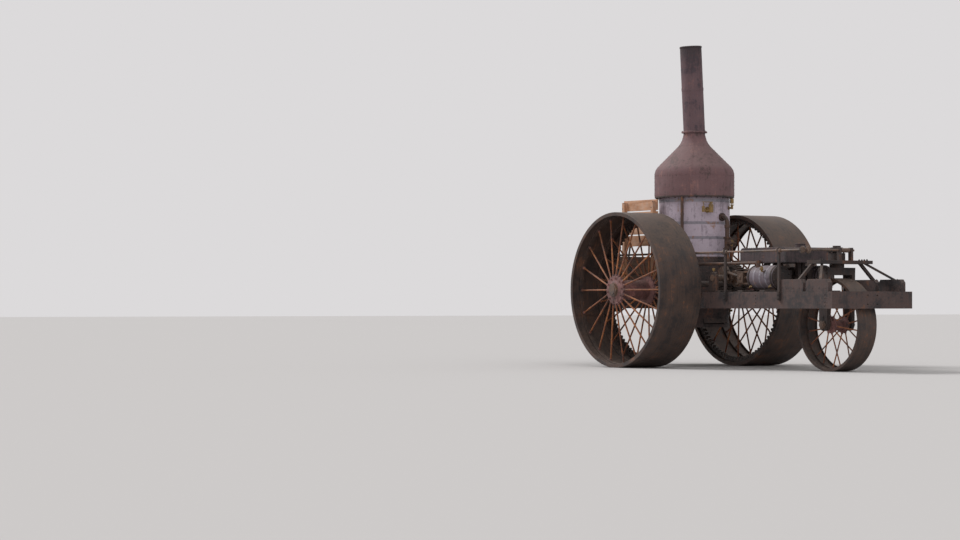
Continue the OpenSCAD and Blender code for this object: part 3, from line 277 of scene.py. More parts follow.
def turned(spots, axes, profile, sides=8, turn=0.0):
    """Bars turned on axes: the point at angle t of row k lies at spot + r_k (u cos t + v sin t) + h_k axis,
    with (r_k, h_k) the profile in metres and u, v square to the axis."""
    spots = np.atleast_2d(np.asarray(spots, float))
    axes = unit(np.broadcast_to(np.asarray(axes, float), spots.shape))
    u = unit(np.cross(np.where(np.abs(axes[:, 2:]) < 0.9, up, ahead), axes))
    v = np.cross(axes, u)
    t = 2 * np.pi * (np.arange(sides) / sides) + turn
    round_it = np.cos(t)[:, None] * u[:, None] + np.sin(t)[:, None] * v[:, None]
    r, h = np.asarray(profile, float).T[:, None, :, None, None]
    return spots[:, None, None] + r * round_it[:, None] + h * axes[:, None, None], False


def upright(section, low, high):
    """A bar whose section, drawn on the floor plane, stands from one height to another."""
    return (section + np.array([low, high])[:, None, None] * up)[None], False


def rivets(spots, normals, r=11, sides=8):
    """Snap heads of radius r mm: a dome 0.62 r high, sunk 1 mm into what it holds."""
    return [turned(spots, normals, sized((1, -1 / r), (1, 0.1), (0.8, 0.42), (0.42, 0.62)) * r, sides)]


def nuts(spots, normals, r=15, over=9, turn=0.2):
    """Hexagon nuts of corner radius r mm with a bolt end that stands over mm proud of them."""
    end = sized((0.56 * r, 0.8 * r), (0.56 * r, 0.9 * r + over - 2), (0.42 * r, 0.9 * r + over))
    return [turned(spots, normals, sized((1, -1 / r), (1, 0.75), (0.87, 0.95)) * r, 6, turn),
            turned(spots, normals, end, 8)]


def places(*spans):
    """Every combination of the values given for x, y and z, as rows of points."""
    spans = [np.atleast_1d(np.asarray(span, float)) for span in spans]
    return np.stack(np.meshgrid(*spans, indexing="ij"), -1).reshape(-1, 3)


frame_finish = rusted_iron("rolled_steel_black_paint_gone_brown", "#2c2627", "#4b3b38", "#7b523b", "#6f666a",
                           "#8d8078", patch=0.55, orange_from=0.72)
for member in ("rail_right", "rail_left", "cross_members", "front_beam", "rail_shoes"):
    dressed(member, frame_finish, edge=3)
axle_x, _, axle_z = middle("drive_hub_left")
rail_low, rail_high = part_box("rail_left")
rail_z, web_y, web_t = (rail_low[2] + rail_high[2]) / 2, rail_high[1], 0.012
cross_low, cross_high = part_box("cross_members")
shoe_low, shoe_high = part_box("rail_shoes")
member_x = [rail_low[0] + 0.035, axle_x - 0.715, axle_x + 0.62, cross_high[0] - 0.035]
shoe_bolt_x = np.linspace(shoe_low[0] + 0.06, shoe_high[0] - 0.06, 8)
rail_rivets = []
for out in (-1, 1):
    web = out * web_y
    rail_rivets += rivets(places(member_x, web, rail_z + sized(-75, -25, 25, 75)), out * left, 13)
    rail_rivets += rivets(places(rail_high[0] - sized(30, 80), web, rail_z + sized(-80, -27, 27, 80)),
                          out * left, 13)
    rail_rivets += nuts(places(shoe_bolt_x, out * (web_y - web_t), shoe_low[2] + 0.05), out * left, 15, 4)
surface("frame_rivets", rail_rivets, frame_finish)

# Angle cleats join each cross member's ends to the rails' webs.
cleat = sized((0, 0), (70, 0), (70, 9), (9, 9), (9, 70), (0, 70))
cleats = []
for x in member_x:
    for out in (-1, 1):
        heel = (x + 0.0225, out * (web_y - web_t - 0.0005), 0)
        cleats.append(upright(heel - cleat @ (ahead, out * left), cross_low[2] + 0.02, cross_high[2] - 0.02))
surface("cross_member_cleats", cleats, frame_finish)


# Drawbar, its hanger plate and the braces behind the boiler. Forged and cast
# iron, bolted to the rear cross member; road dirt has dulled the black.
dark_finish = rusted_iron("cast_iron_dark_rust", "#221d1d", "#392d2a", "#5f4132", "#5d5557", "#81746b",
                          orange_from=0.66)
dressed("drawbar", dark_finish, edge=3)
dressed("drawbar_braces", dark_finish, edge=1)
hanger_x = rail_low[0] - 0.024
surface("drawbar_bolts", nuts(places(hanger_x, [-0.18, 0.18, -0.11, 0.11], [0.99, 1.09]), -ahead, 17)
        + nuts(places(hanger_x, [-0.17, 0.17], 0.90), -ahead, 17), dark_finish)


# Axle brackets and stub axles. The cast brackets are bolted through the rail
# webs; each turned stub, under a film of rust, ends in a washer, a nut and a
# split pin. The oil cups are cast brass gone brown.
shaft_finish = rusted_iron("forged_steel_film_rust", "#3a302c", "#5f4a3e", "#87593c", "#8d8078", "#8f8176",
                           bare=0.35, rough=(0.42, 0.8))
brass_finish = rusted_iron("cast_brass_gone_brown", "#5a4428", "#7d6236", "#94733f", "#b08d50", "#8f8068",
                           bare=0.4, rough=(0.35, 0.7), pits=0.5)


def oblong(first, last, low, high):
    """The four corners of an oblong outline, given in mm."""
    return sized((first, low), (last, low), (last, high), (first, high))


def hoop(profile, centre, axis, steps=96):
    """A ring: the closed section [radius, height] carried round the axis through centre."""
    grid, _ = turned(centre, axis, profile, steps)
    return np.swapaxes(grid, 1, 2), True


dressed("axle_brackets", dark_finish, edge=4)
dressed("stub_axles", shaft_finish, edge=3)
bracket_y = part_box("axle_brackets")[1][1]
stub_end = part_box("stub_axles")[1][1]
oil_cup = sized((11, 0), (11, 22), (24, 26), (24, 56), (27, 58), (27, 64), (10, 70))
bracket_nuts, washers, pins, cups = [], [], [], []
for out in (-1, 1):
    bracket_nuts += nuts(places(axle_x + sized(-310, -220, 220, 310), out * bracket_y,
                                rail_low[2] + sized(50, 120)), out * left, 17, 8)
    washers.append(hoop(oblong(76, 112, 0, 8), (axle_x, out * (stub_end - 0.0445), axle_z), out * left, 48))
    pins.append(turned((axle_x - 0.118, out * (stub_end - 0.028), axle_z), ahead, sized((5, 0), (5, 236))))
    cups.append(turned((axle_x, out * 0.70, axle_z + 0.094), up, oil_cup, 16))
surface("axle_bracket_nuts", bracket_nuts, dark_finish)
surface("stub_axle_washers", washers + pins, shaft_finish)
surface("axle_oil_cups", cups, brass_finish)


# Driving wheels. Rims of rolled plate with two riveted hoops inside and butt
# straps over their joints, threaded rod spokes, cast hubs and a bolted ring
# gear. Rims are scuffed brown, spokes orange, hubs pinkish, gears greasy black.
wheel_finish = rusted_iron("rolled_tyre_plate_rust", "#2a2322", "#46362f", "#6d4a37", "#6b5c5c", "#84766c",
                           orange_from=0.66, bare=0.14, rough=(0.5, 0.85), streaks=0.75, drawn=(2.0, 75, 2.0))
spoke_finish = rusted_iron("spoke_rod_orange_rust", "#4a2f25", "#7c4a32", "#a4683f", "#8a6a58", "#9a8372",
                           patch=0.45, orange_from=0.5)
hub_finish = rusted_iron("hub_casting_pink_rust", "#4a3735", "#76524f", "#9a6b66", "#8e7775", "#9a8880")
gear_finish = rusted_iron("gear_iron_old_grease", "#1f1b1a", "#3b2f2b", "#694633", "#6d6461", "#7d7067",
                          bare=0.3, rough=(0.4, 0.8))
rim_in, hub_flange, rod_pitch = 1.17, 0.22, 18
hub_nut_circle, hub_face, hub_mid = 0.186, 1.565, 1.2
rod_sets = ((0.0, 1.54, 1.385), (9.0, 0.93, 1.025))  # First angle, y at the hub, y at the rim.
strap_spans = ((0.83, 0.982), (1.068, 1.342), (1.428, 1.55))
strap_half, strap_out, strap_in = 4.5, 1.199, 1.187
gear_bolts, gear_mid, gear_half_t = 1.163, 0.8747, 0.030
hub_centre = np.array([axle_x, 0, axle_z])


def fan(angles, start=ahead, side=left):
    """The directions start cos t + side sin t at the angles t, in degrees."""
    t = np.radians(np.atleast_1d(angles))[:, None]
    return np.cos(t) * start + np.sin(t) * side


def rod_nuts(low, high, down, hub_nut, rim_nut):
    """Hexagon nuts where rods leave the hub at low, and down short of where they meet the rim at high."""
    along = unit(high - low)
    return [turned(high - along * down, along, rim_nut, 6), turned(low, along, hub_nut, 6)]


for side, out in (("right", -1), ("left", 1)):
    body = "drive_wheel_" + side
    for part, finish, edge in (("drive_rim_", wheel_finish, 3), ("drive_spokes_", spoke_finish, 0),
                               ("drive_hub_", hub_finish, 4), ("bull_gear_", gear_finish, 1.5)):
        dressed(part + side, finish, edge)
    ends, rim_bits = [], []
    for start, y_hub, y_rim in rod_sets:
        angles = start + rod_pitch * np.arange(20)
        rays = fan(angles, up, ahead)
        ends += rod_nuts(hub_centre + rays * hub_flange + out * y_hub * left,
                         hub_centre + rays * rim_in + out * y_rim * left, 0.026,
                         sized((23, -4), (23, 18), (17, 24)), sized((24, 0), (24, 22), (18, 27)))
        rays = fan(angles + rod_pitch / 2, up, ahead)
        for shift in (-0.024, 0.024):
            rim_bits += rivets(hub_centre + rays * rim_in + (out * y_rim + shift) * left, -rays, 12)
    surface("drive_spoke_nuts_" + side, ends, hub_finish, body)
    for centre in (75.0, 255.0):
        rays = fan(np.linspace(centre - strap_half, centre + strap_half, 9), up, ahead)
        for first, last in strap_spans:
            section = ((strap_out, first), (strap_out, last), (strap_in, last), (strap_in, first))
            strap = np.stack([hub_centre + rays * r + out * y * left for r, y in section], 1)
            rim_bits.append((strap[None], False))
            across = np.arange(first + 0.03, last - 0.015, 0.06)[:, None]
            for ray in fan(centre + np.array([-3, -1.2, 1.2, 3]), up, ahead):
                rim_bits += rivets(hub_centre + ray * (strap_in + 0.001) + out * across * left, -ray, 9)
    surface("drive_hoop_rivets_" + side, rim_bits, wheel_finish, body)
    rays = fan(9 + 36 * np.arange(10), up, ahead)
    hub_bits = nuts(hub_centre + rays * hub_nut_circle + out * hub_face * left, out * left, 16, 8)
    hub_bits += [hoop(oblong(151, 158, 0, 26), hub_centre + out * (hub_mid + shift) * left, left, 64)
                 for shift in (-0.09, 0.09)]
    surface("drive_hub_nuts_" + side, hub_bits, hub_finish, body)
    spots = hub_centre + fan(4 + 11.25 * np.arange(32), up, ahead) * gear_bolts
    surface("bull_gear_bolts_" + side, nuts(spots + out * (gear_mid + gear_half_t) * left, out * left, 15, 6)
            + rivets(spots + out * (gear_mid - gear_half_t) * left, -out * left, 13),
            gear_finish, body)


# The steered wheel, its yoke and axle. A narrower riveted wheel of the same
# make turns on a greased axle in a forged yoke, whose crown carries the king
# post.
for part, finish, edge in (("front_rim", wheel_finish, 3), ("front_spokes", spoke_finish, 0),
                           ("front_hub", hub_finish, 3), ("front_axle", shaft_finish, 2),
                           ("steering_yoke", dark_finish, 5)):
    dressed(part, finish, edge)
front = middle("front_rim") * (1, 0, 1)
yoke_out, crown_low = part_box("steering_yoke")[1][1], 1.425
front_flange, front_flange_y, front_rim_in, front_rim_y = 0.125, 0.115, 0.652, 0.008
front_ends, yoke_bits = [], []
for out in (-1, 1):
    rays = fan(out * 9 + 36 * np.arange(10), up, ahead)
    front_ends += rod_nuts(front + rays * front_flange + out * front_flange_y * left,
                           front + rays * front_rim_in + out * front_rim_y * left, 0.02,
                           sized((18, -4), (18, 14), (13, 18)), sized((18, 0), (18, 16), (13, 20)))
    yoke_bits += nuts(places(front[0] + sized(-70, 70), out * yoke_out, crown_low + sized(30, 80)),
                      out * left, 15, 6)
    yoke_bits.append(turned((front[0], out * yoke_out, front[2] + 0.075), up,
                            sized((8, 0), (8, 30), (17, 34), (17, 52), (8, 56)), 12))
surface("front_spoke_nuts", front_ends, hub_finish, "front_wheel")
surface("yoke_bolts", yoke_bits, dark_finish, "steering_fork")


# Pedestal over the steered wheel. Flat forged legs are bolted down to the cast
# shoes and up to the head plate, which holds the king post's bearing.
dressed("pedestal_legs", dark_finish, edge=3)
dressed("pedestal_head", dark_finish, edge=4)
post_x, head_low = front[0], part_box("pedestal_head")[0]
plate_top, bearing_top, shoe_t = head_low[2] + 0.05, head_low[2] + 0.16, 0.012
pedestal_nuts = nuts(places(post_x + sized(-30, 30), [-0.46, 0.46], plate_top), up, 15, 10)
pedestal_nuts += nuts(places(post_x + sized(130, 190), [-0.42, 0.42], plate_top), up, 15, 10)
for foot in (post_x, post_x + 0.46):
    pedestal_nuts += nuts(places(foot + sized(-55, 55), [-0.722, 0.722], shoe_high[2] - shoe_t), up, 13, 8)
pedestal_nuts += nuts((post_x, 0, bearing_top) + 0.1 * fan(45 + 90 * np.arange(4)), up, 12, 8)
surface("pedestal_nuts", pedestal_nuts, dark_finish)


# Steering gear. A worm on a cross shaft turns the wheel on the king post; the
# long shaft runs back outside the right rail to the hand wheel. Turned steel
# with a film of rust, and pinned collars beside each bearing.
for part, finish, edge in (("worm_wheel", gear_finish, 1.5), ("worm_shaft", shaft_finish, 1),
                           ("shaft_posts", dark_finish, 2), ("steering_shaft", shaft_finish, 1),
                           ("hand_wheel", dark_finish, 0)):
    dressed(part, finish, edge)


def carried(path, outline, above):
    """A closed outline [across, up] carried along a path: at each point its plane is square to the path's
    direction, with up as near as it can be to the direction above."""
    path = np.asarray(path, float)
    onward = unit(np.gradient(path, axis=0))
    across = unit(np.cross(onward, np.broadcast_to(above, path.shape)))
    high = np.cross(across, onward)
    a, b = np.asarray(outline, float).T[:, None, :, None]
    return (path[:, None] + a * across[:, None] + b * high[:, None])[None], False


def bevel_teeth(tip, axis, across, shift, count=16, height=0.010):
    """A toothed cone in four rings: small end inside and outside, large end outside and inside. The point at
    angle t is tip + h axis + (r + height * wave(t)) (across cos t + side sin t), the wave flat-topped."""
    corner = np.array([-0.33, -0.16, 0.16, 0.33])
    t = (2 * np.pi * (np.arange(count)[:, None] + shift + corner) / count).ravel()
    wave = np.tile([0.0, 1.0, 1.0, 0.0], count)
    r = sized(30, 34, 52, 48)[:, None] + height * wave * np.array([0, 1, 1, 0])[:, None]
    h = sized(-0.5, -0.5, 22.5, 22.5)[:, None, None]
    out = np.cos(t)[:, None] * across + np.sin(t)[:, None] * np.cross(axis, across)
    return (np.asarray(tip, float) + h * axis + r[..., None] * out)[None], True


worm_axis = middle("worm_shaft") * (1, 0, 1)
turns = np.linspace(0, 6 * 360, 145)
outward = fan(turns, ahead, up)
helix = worm_axis + 0.0305 * outward + (0.14 * turns / turns[-1] - 0.07)[:, None] * left
surface("worm_thread", [carried(helix, sized((-7, -2), (7, -2), (2.5, 4), (-2.5, 4)), outward)],
        shaft_finish)
_, shaft_y, shaft_z = middle("steering_shaft")
cross_tip = (worm_axis[0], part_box("worm_shaft")[0][1], worm_axis[2])
long_tip = (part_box("steering_shaft")[1][0], shaft_y, shaft_z)
surface("steering_bevel_teeth", [bevel_teeth(cross_tip, left, -ahead, 0.0),
                                 bevel_teeth(long_tip, -ahead, left, 0.5)], shaft_finish)
post_low, post_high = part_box("shaft_posts")
posts_x = [post_low[0] + 0.022, 0.915, post_high[0] - 0.022]
collar = sized((16.2, 0), (30, 0), (32, 2), (32, 22), (30, 24), (16.2, 24))
before_post, behind_post, collar_w = 0.025, -0.049, 0.024
collars = [hoop(collar, (x + shift, shaft_y, shaft_z), ahead, 32)
           for shift in (before_post, behind_post) for x in posts_x]
collars += [turned((x + before_post + collar_w / 2, shaft_y, shaft_z + 0.03), up,
                   sized((5, 0), (5, 12), (4, 13)), 4) for x in posts_x]
surface("shaft_collars", collars, shaft_finish)
post_nuts = nuts(places(posts_x, shaft_y, shaft_z + 0.038), up, 10, 8)
post_nuts += nuts(places(posts_x, -(web_y + 0.0395), rail_z + sized(20, 80)), -left, 12, 6)
surface("shaft_post_nuts", post_nuts, dark_finish)
surface("hand_wheel_nut", [turned((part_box("hand_wheel")[0][0] + 0.002, shaft_y, shaft_z), -ahead,
                                  sized((20, 0), (20, 12), (16, 16)), 6)], shaft_finish)


# Firebox ring, ash pan and boiler brackets. Two skins of boiler plate are held
# apart by screwed stays, whose heads show in rows, and riveted to a foundation
# ring below and a lap above. Heat has browned the paint.
def around(radius, heights, count, start=0.0):
    """Points spaced evenly round the boiler at each height, and the directions out from its axis."""
    t, z = (g.ravel() for g in np.meshgrid(start + 2 * np.pi * np.arange(count) / count, heights))
    rays = np.stack([np.cos(t), np.sin(t), 0 * t], -1)
    return rays * radius + axle_x * ahead + z[:, None] * up, rays


boiler_finish = rusted_iron("boiler_plate_heat_browned", "#2a2424", "#463836", "#6d4a3b", "#665a58",
                            "#84776f", streaks=0.45)
dressed("firebox", boiler_finish, edge=2)
dressed("ash_pan", boiler_finish, edge=1)
dressed("boiler_brackets", dark_finish, edge=3)
shell_low, shell_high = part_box("firebox")
shell_r, fire_hole_z = (shell_high[0] - shell_low[0]) / 2, 1.45
stays, stays_out = around(shell_r - 0.0005, np.arange(0.95, 1.64, 0.11), 32, math.radians(5.6))
clear = ~((stays[:, 0] < axle_x) & (np.hypot(stays[:, 1], stays[:, 2] - fire_hole_z) < 0.26))
plate_rivets = rivets(stays[clear], stays_out[clear], 13)
for height, start in ((shell_low[2] + 0.028, 0), (shell_high[2] - 0.022, 0.03), (shell_high[2] - 0.062, 0)):
    plate_rivets += rivets(*around(shell_r - 0.0005, height, 64, start), 12)
plate_rivets += rivets(*around(shell_r - 0.0205, shell_low[2] - 0.16, 28), 8)
surface("firebox_stays", plate_rivets, boiler_finish)
plug_z, diagonal = shell_low[2] + 0.075, math.radians(45)
surface("wash_out_plugs", [
    turned(*around(shell_r - 0.001, plug_z, 4, diagonal), sized((34, 0), (34, 8), (19, 9), (18, 22)), 24),
    turned(*around(shell_r + 0.018, plug_z, 4, diagonal), sized((17, 0), (17, 20), (14, 22)), 4),
], brass_finish)

# A sheet damper, hinged over the ash pan's draught opening, is propped ajar.
pan_low, pan_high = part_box("ash_pan")
pan_r, flap_l, flap_t = (pan_high[0] - pan_low[0]) / 2, 0.105, 0.004
hinge = np.array([pan_r + 0.002, pan_low[2] + 0.147])
down, off = fan([-52, 38])[:, :2]
flap = hinge + np.array([0 * down, flap_l * down, flap_l * down + flap_t * off, flap_t * off])
rays = fan(np.linspace(-22.5, 22.5, 24))
damper = axle_x * ahead + flap[:, :1] * rays[:, None] + flap[:, 1:] * up
rays = fan([-14, 14])
beside = np.cross(up, rays)
knuckles = (axle_x, 0, hinge[1] + 0.006) + (pan_r + 0.005) * rays - 0.03 * beside
damper_bits = [(damper[None], False), turned(knuckles, beside, sized((7, 0), (7, 60)), 12)]
for along in (0.02, 0.045, 0.07):
    r, z = hinge + down * along + off * (flap_t - 0.0005)
    damper_bits += rivets((axle_x, 0, z) + r * rays, off[0] * rays + off[1] * up, 7)
surface("ash_pan_damper", damper_bits, boiler_finish)
foot_bolts = places(axle_x + sized(-305, -235, 235, 305), [-0.70, 0.70], rail_high[2] + 0.0295)
surface("boiler_foot_nuts", nuts(foot_bolts, up, 16, 10), dark_finish)


# Fire hole mouthpiece and door. The cast ring carries the hinge; the wrought
# door has a riveted strap, a latch and a ring of rivets for its baffle.
dressed("fire_door_frame", dark_finish, edge=2)
dressed("fire_door", dark_finish, edge=2)
door_face, door_z = axle_x - 0.646, middle("fire_door")[2]
rays = fan(15 + 30 * np.arange(12), left, up)
rays = rays[np.abs(rays[:, 2]) > 0.2]
surface("fire_door_rivets", rivets((door_face, 0, door_z) + 0.168 * rays, -ahead, 8)
        + rivets(places(door_face - 0.0115, [-0.07, 0.0, 0.08, 0.16], door_z), -ahead, 9),
        dark_finish, "fire_door")


# Boiler barrel under its jacket. Pale galvanised sheets, gone mauve-grey with
# weather, are lapped, screwed and strapped down by dull grey bands with clamps.
# The darker mauve that comes in towards the jacket's top, under the hood, is painted shade of the hood's
# overhang.
jacket_finish = rusted_iron("weathered_jacket_sheet_painted_shade_at_top", "#8a7e87", "#b2a3af", "#98796f", "#c6bac3", "#c1b5b1",
                            patch=0.45, orange_from=0.68, streaks=0.8, rough=(0.5, 0.75), pits=0.35,
                            stain_and_shade=("#6d6068", 2.45, 2.78), dents=9)
band_finish = rusted_iron("galvanised_band", "#5f5a62", "#847d86", "#87624c", "#a8a2ab", "#a79f9c",
                          patch=0.45, orange_from=0.6, rough=(0.45, 0.7), bare=0.15)


def repaint(piece, finish, chosen):
    """Give another finish to the faces whose centre passes the test, as where two kinds of piece share a
    node. The test takes the centres and the normals as arrays of rows."""
    mesh = piece.data
    centres, normals = np.empty(3 * len(mesh.polygons)), np.empty(3 * len(mesh.polygons))
    mesh.polygons.foreach_get("center", centres)
    mesh.polygons.foreach_get("normal", normals)
    mesh.materials.append(finish)
    index = np.empty(len(mesh.polygons), int)
    mesh.polygons.foreach_get("material_index", index)
    index[chosen(centres.reshape(-1, 3), normals.reshape(-1, 3))] = len(mesh.materials) - 1
    mesh.polygons.foreach_set("material_index", index)
    mesh.update()


barrel_r, barrel_top = shell_r - 0.006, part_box("boiler_barrel")[1][2]
ring_low = barrel_top - 0.024
repaint(dressed("boiler_barrel", jacket_finish, edge=2), boiler_finish,
        lambda at, facing: at[:, 2] > ring_low - 0.001)
sheets = ((1.757, 2.05), (2.05, 2.285), (2.285, 2.69))
bands, clamps = [], []
band = oblong(-1.2, 2.5, -22, 22) + (barrel_r, 0)
for height in (1.80, 2.05, 2.285, 2.64):
    bands.append(hoop(band, (axle_x, 0, height), up, 144))
    for angle in (205, 207.6):
        bands.append(turned(*around(barrel_r - 0.001, height, 1, math.radians(angle)),
                            sized((9, 0), (9, 22), (7, 24)), 4, math.pi / 4))
    lug, lug_out = around(barrel_r + 0.013, height, 1, math.radians(206.3))
    beside = np.cross(up, lug_out)
    clamps.append(turned(lug, beside, sized((4, -32), (4, 32))))
    clamps += nuts(lug + 0.019 * beside, beside, 8, 5)
surface("jacket_bands", bands, band_finish, keen=30)
surface("jacket_band_bolts", clamps, shaft_finish)
screws, laps = [], []
for (first, last), angle in zip(2 * sheets, (250, 330, 290, 40, 110, 75)):
    r = barrel_r + sized(-1, -1, 1.4, 1.4)[:, None]
    laps.append(upright(axle_x * ahead + r * fan(angle + np.array([-2.2, 2.2, 2.2, -2.2])), first, last))
    screws += rivets(*around(barrel_r + 0.0012, np.arange(first + 0.05, last - 0.04, 0.055), 1,
                             math.radians(angle)), 5, 6)
surface("jacket_laps", laps + screws, jacket_finish)
surface("foot_ring_nuts", nuts(around(shell_r + 0.035, ring_low, 32)[0], -up, 11, 8),
        boiler_finish)


# Smoke hood. Gores of sheet, hammered to a bell, are lapped and riveted at the
# shoulder, under the neck and down two seams. Rough mauve-brown rust.
hood_finish = rusted_iron("hammered_sheet_mauve_rust", "#4b3838", "#6b4f51", "#86625e", "#8a7476", "#8d7b76",
                          patch=0.45, orange_from=0.66, streaks=0.6, pits=1.4, dents=22)
dressed("smoke_hood", hood_finish, edge=1.5, keen=25)
hood_r, neck_r, shoulder_r, sweep_r = 0.635, 0.1725, 0.20, 0.33
shoulder_z = barrel_top + 0.34
neck_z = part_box("smoke_hood")[1][2] - 0.020


def bell(a, hollow):
    """Radius, height and outward direction on the hood: the shoulder's arc r = R - s + s cos a,
    z = z_s + s sin a, or with hollow the sweep to the neck, r = n + w - w cos a, z = z_n - w sin a."""
    across, rise = math.cos(math.radians(a)), math.sin(math.radians(a))
    if hollow:
        return neck_r + sweep_r * (1 - across), neck_z - sweep_r * rise, across, rise
    return hood_r - shoulder_r * (1 - across), shoulder_z + shoulder_r * rise, across, rise


hood_rivets = []
for radius, height, across, rise, count, size in (
        (hood_r, barrel_top + 0.022, 1, 0, 72, 8), (hood_r, shoulder_z - 0.012, 1, 0, 72, 8),
        (*bell(40, True), 48, 7), (*bell(9, True), 18, 7)):
    spots, rays = around(radius, height, count)
    hood_rivets += rivets(spots, rays * across + rise * up, size)
profile = [(hood_r, z, 1.0, 0.0) for z in np.linspace(barrel_top + 0.003, shoulder_z, 8)[:-1]]
profile += [bell(a, False) for a in range(0, 46, 9)] + [bell(a, True) for a in range(45, 3, -6)]
profile = np.array(profile)
seams = []
for ray in fan([232, 52, 318, 140]):
    line = axle_x * ahead + profile[:, :1] * ray + profile[:, 1:2] * up
    facing = profile[:, 2:3] * ray + profile[:, 3:] * up
    seams.append(carried(line, oblong(-19, 19, -2, 2.2), facing))
    length = np.concatenate([[0], np.cumsum(np.linalg.norm(np.diff(line, axis=0), axis=1))])
    even = np.arange(0.05, length[-1] - 0.02, 0.062)
    at, away = (np.stack([np.interp(even, length, rows[:, k]) for k in range(3)], -1)
                for rows in (line, facing))
    hood_rivets += rivets(at + away * 0.0018, away, 7)
surface("hood_seams", seams + hood_rivets, hood_finish)


# Stack. Two lengths of rolled sheet are riveted up a seam and lapped half way;
# a half-round bead stiffens the mouth, and soot has darkened the upper part.
stack_finish = rusted_iron("stack_sheet_rust_and_soot", "#41333a", "#5f494d", "#7a5a58", "#8a7476", "#8d7b76",
                           streaks=0.7, patch=0.48, orange_from=0.7, pits=1.2,
                           stain_and_shade=("#241e20", 4.55, 5.2), dents=12)
dressed("stack", stack_finish, edge=1)
stack_r, stack_h, lap_h, lean_angle = 0.1725, 1.37, 0.68, 3
base = np.array([axle_x, 0, neck_z + 0.020])
lean = fan(lean_angle, up, -left)[0]
back = np.cross(lean, ahead)
bead = sized((-1, -9), (7, -6), (9, 0), (7, 6), (-1, 9)) + (stack_r, 0)
foot_bead = sized((-2, 1), (10, 1), (8, 14), (-2, 20)) + (stack_r, 0)
lap_band = oblong(-1, 3, -26, 26) + (stack_r, 0)
stack_bits = [hoop(bead, base + lean * (stack_h - 0.016), lean), hoop(lap_band, base + lean * lap_h, lean),
              hoop(foot_bead, base, lean)]
for level, start in ((-0.013, 0), (0.013, 11)):
    away = fan(start + 22.5 * np.arange(16), ahead, back)
    stack_bits += rivets(base + lean * (lap_h + level) + away * (stack_r + 0.0025), away, 6)
for angle, first, last in ((150, 0.03, 0.655), (15, 0.705, 1.33)):
    away = fan(angle, ahead, back)[0]
    rows = np.array([[first], [last]])
    stack_bits.append(carried(base + lean * rows + away * stack_r, oblong(-16, 16, -2, 1.6), away))
    rows = np.arange(first + 0.03, last - 0.01, 0.052)[:, None]
    stack_bits += rivets(base + lean * rows + away * (stack_r + 0.0012), away, 6)
surface("stack_seams", stack_bits, stack_finish)
surface("stack_base_nuts", nuts(around(0.1945, neck_z + 0.0195, 8, 0.3)[0], up, 9, 6),
        hood_finish)


# Boiler fittings. Cast gunmetal gone brown: safety valve with its weighted
# lever, whistle, water column with try cocks and a gauge glass, and the
# pressure gauge with an enamelled dial behind a plain rim.
dressed("boiler_fittings", brass_finish, edge=1.2)
column = np.array([axle_x + 0.13 - shell_r, 0.33, 1.86])
glass_foot = column + (0, 0.09, 0)
flange = sized((46, 0), (46, 9), (44, 11), (20, 12))
fitting_bits = []
for y, down, r in ((-0.16, 0.23, 1.0), (0.33, 0.19, 0.75)):
    x = axle_x + math.sqrt(barrel_r ** 2 - (abs(y) + 0.046 * r) ** 2)
    fitting_bits.append(turned((x - 0.002, y, barrel_top - down), ahead, flange * r + (0, 0.022), 32))
for height, way in ((0.03, 1), (0.35, -1)):
    fitting_bits.append(turned(column + (0, 0.03, height), left,
                               sized((9, 0), (9, 50), (14, 52), (14, 66), (9, 70)), 16))
    fitting_bits.append(turned(glass_foot + height * up, way * up,
                               sized((13, -16), (13, 20), (17, 22), (17, 40), (10, 44)), 6))
for x in (-0.016, 0.016):
    fitting_bits.append(turned(glass_foot + (x, 0.022, 0.19), up, sized((3, -150), (3, 150))))
fitting_bits.append(turned(column, up, sized((42, -6), (42, 6), (35, 10)), 32))
fitting_bits.append(turned(column + 0.38 * up, up, sized((42, -8), (42, 4), (24, 12), (10, 20)), 32))
for height in (0.09, 0.19, 0.29):
    fitting_bits.append(turned(column + (-0.07, 0.045, height), left,
                               sized((9, 0), (16, 3), (17, 9), (9, 13)), 16))
surface("fitting_flanges", fitting_bits, brass_finish)

# The dial is glossy enamel gone cream, with baked black strokes and a needle.
dial_finish = rusted_iron("yellowed_enamel_dial", "#c9c0a6", "#ddd5bd", "#a98a5f", "#e2dccb", "#cfc7b3",
                          patch=0.3, orange_from=0.8, rough=(0.2, 0.35), pits=0.1)
ink_finish = rusted_iron("black_dial_ink", "#171516", "#1d1a1b", "#292020", "#2a2727", "#3a3634",
                         rough=(0.3, 0.5), pits=0.1)
dial = np.array([axle_x - shell_r - 0.0955, 0, barrel_top - 0.30])
surface("gauge_dial", [turned(dial + 0.004 * ahead, -ahead, sized((83, 0), (83, 3)), 64)], dial_finish)
marks = [carried(dial + ray * np.array([[0.060], [0.074]]), oblong(-1, 1, -1, 1.2), -ahead)
         for ray in fan(np.linspace(-135, 135, 19), up, left)]
needle = fan(math.degrees(-2.3), up, left)[0]
marks.append(carried(dial - 0.002 * ahead + needle * np.array([[-0.018], [0.064]]),
                     sized((-2, -0.5), (2, -0.5), (1, 1), (-1, 1)), -ahead))
marks.append(turned(dial + 0.001 * ahead, -ahead, sized((6, 0), (6, 6), (4, 7)), 16))
surface("gauge_marks", marks, ink_finish)

# Drawn glass tube, faintly green and clouded by lime inside.
glass_finish, tree, place = blank("gauge_glass_tube")
film = add(tree, "TexNoise", Vector=place.outputs["Object"], Scale=60, Detail=4)
cloudy = add(tree, "MapRange", Value=film, From_Min=0.35, From_Max=0.7, To_Min=0.04, To_Max=0.35)
clear_glass = add(tree, "BsdfPrincipled", Base_Color=linear("#cdd6cf"), Roughness=cloudy,
                  Transmission_Weight=0.9, IOR=1.5)
add(tree, "OutputMaterial", Surface=clear_glass)
surface("gauge_glass", [turned(glass_foot + 0.19 * up, up, sized((7, -130), (7, 130)), 24)], glass_finish)


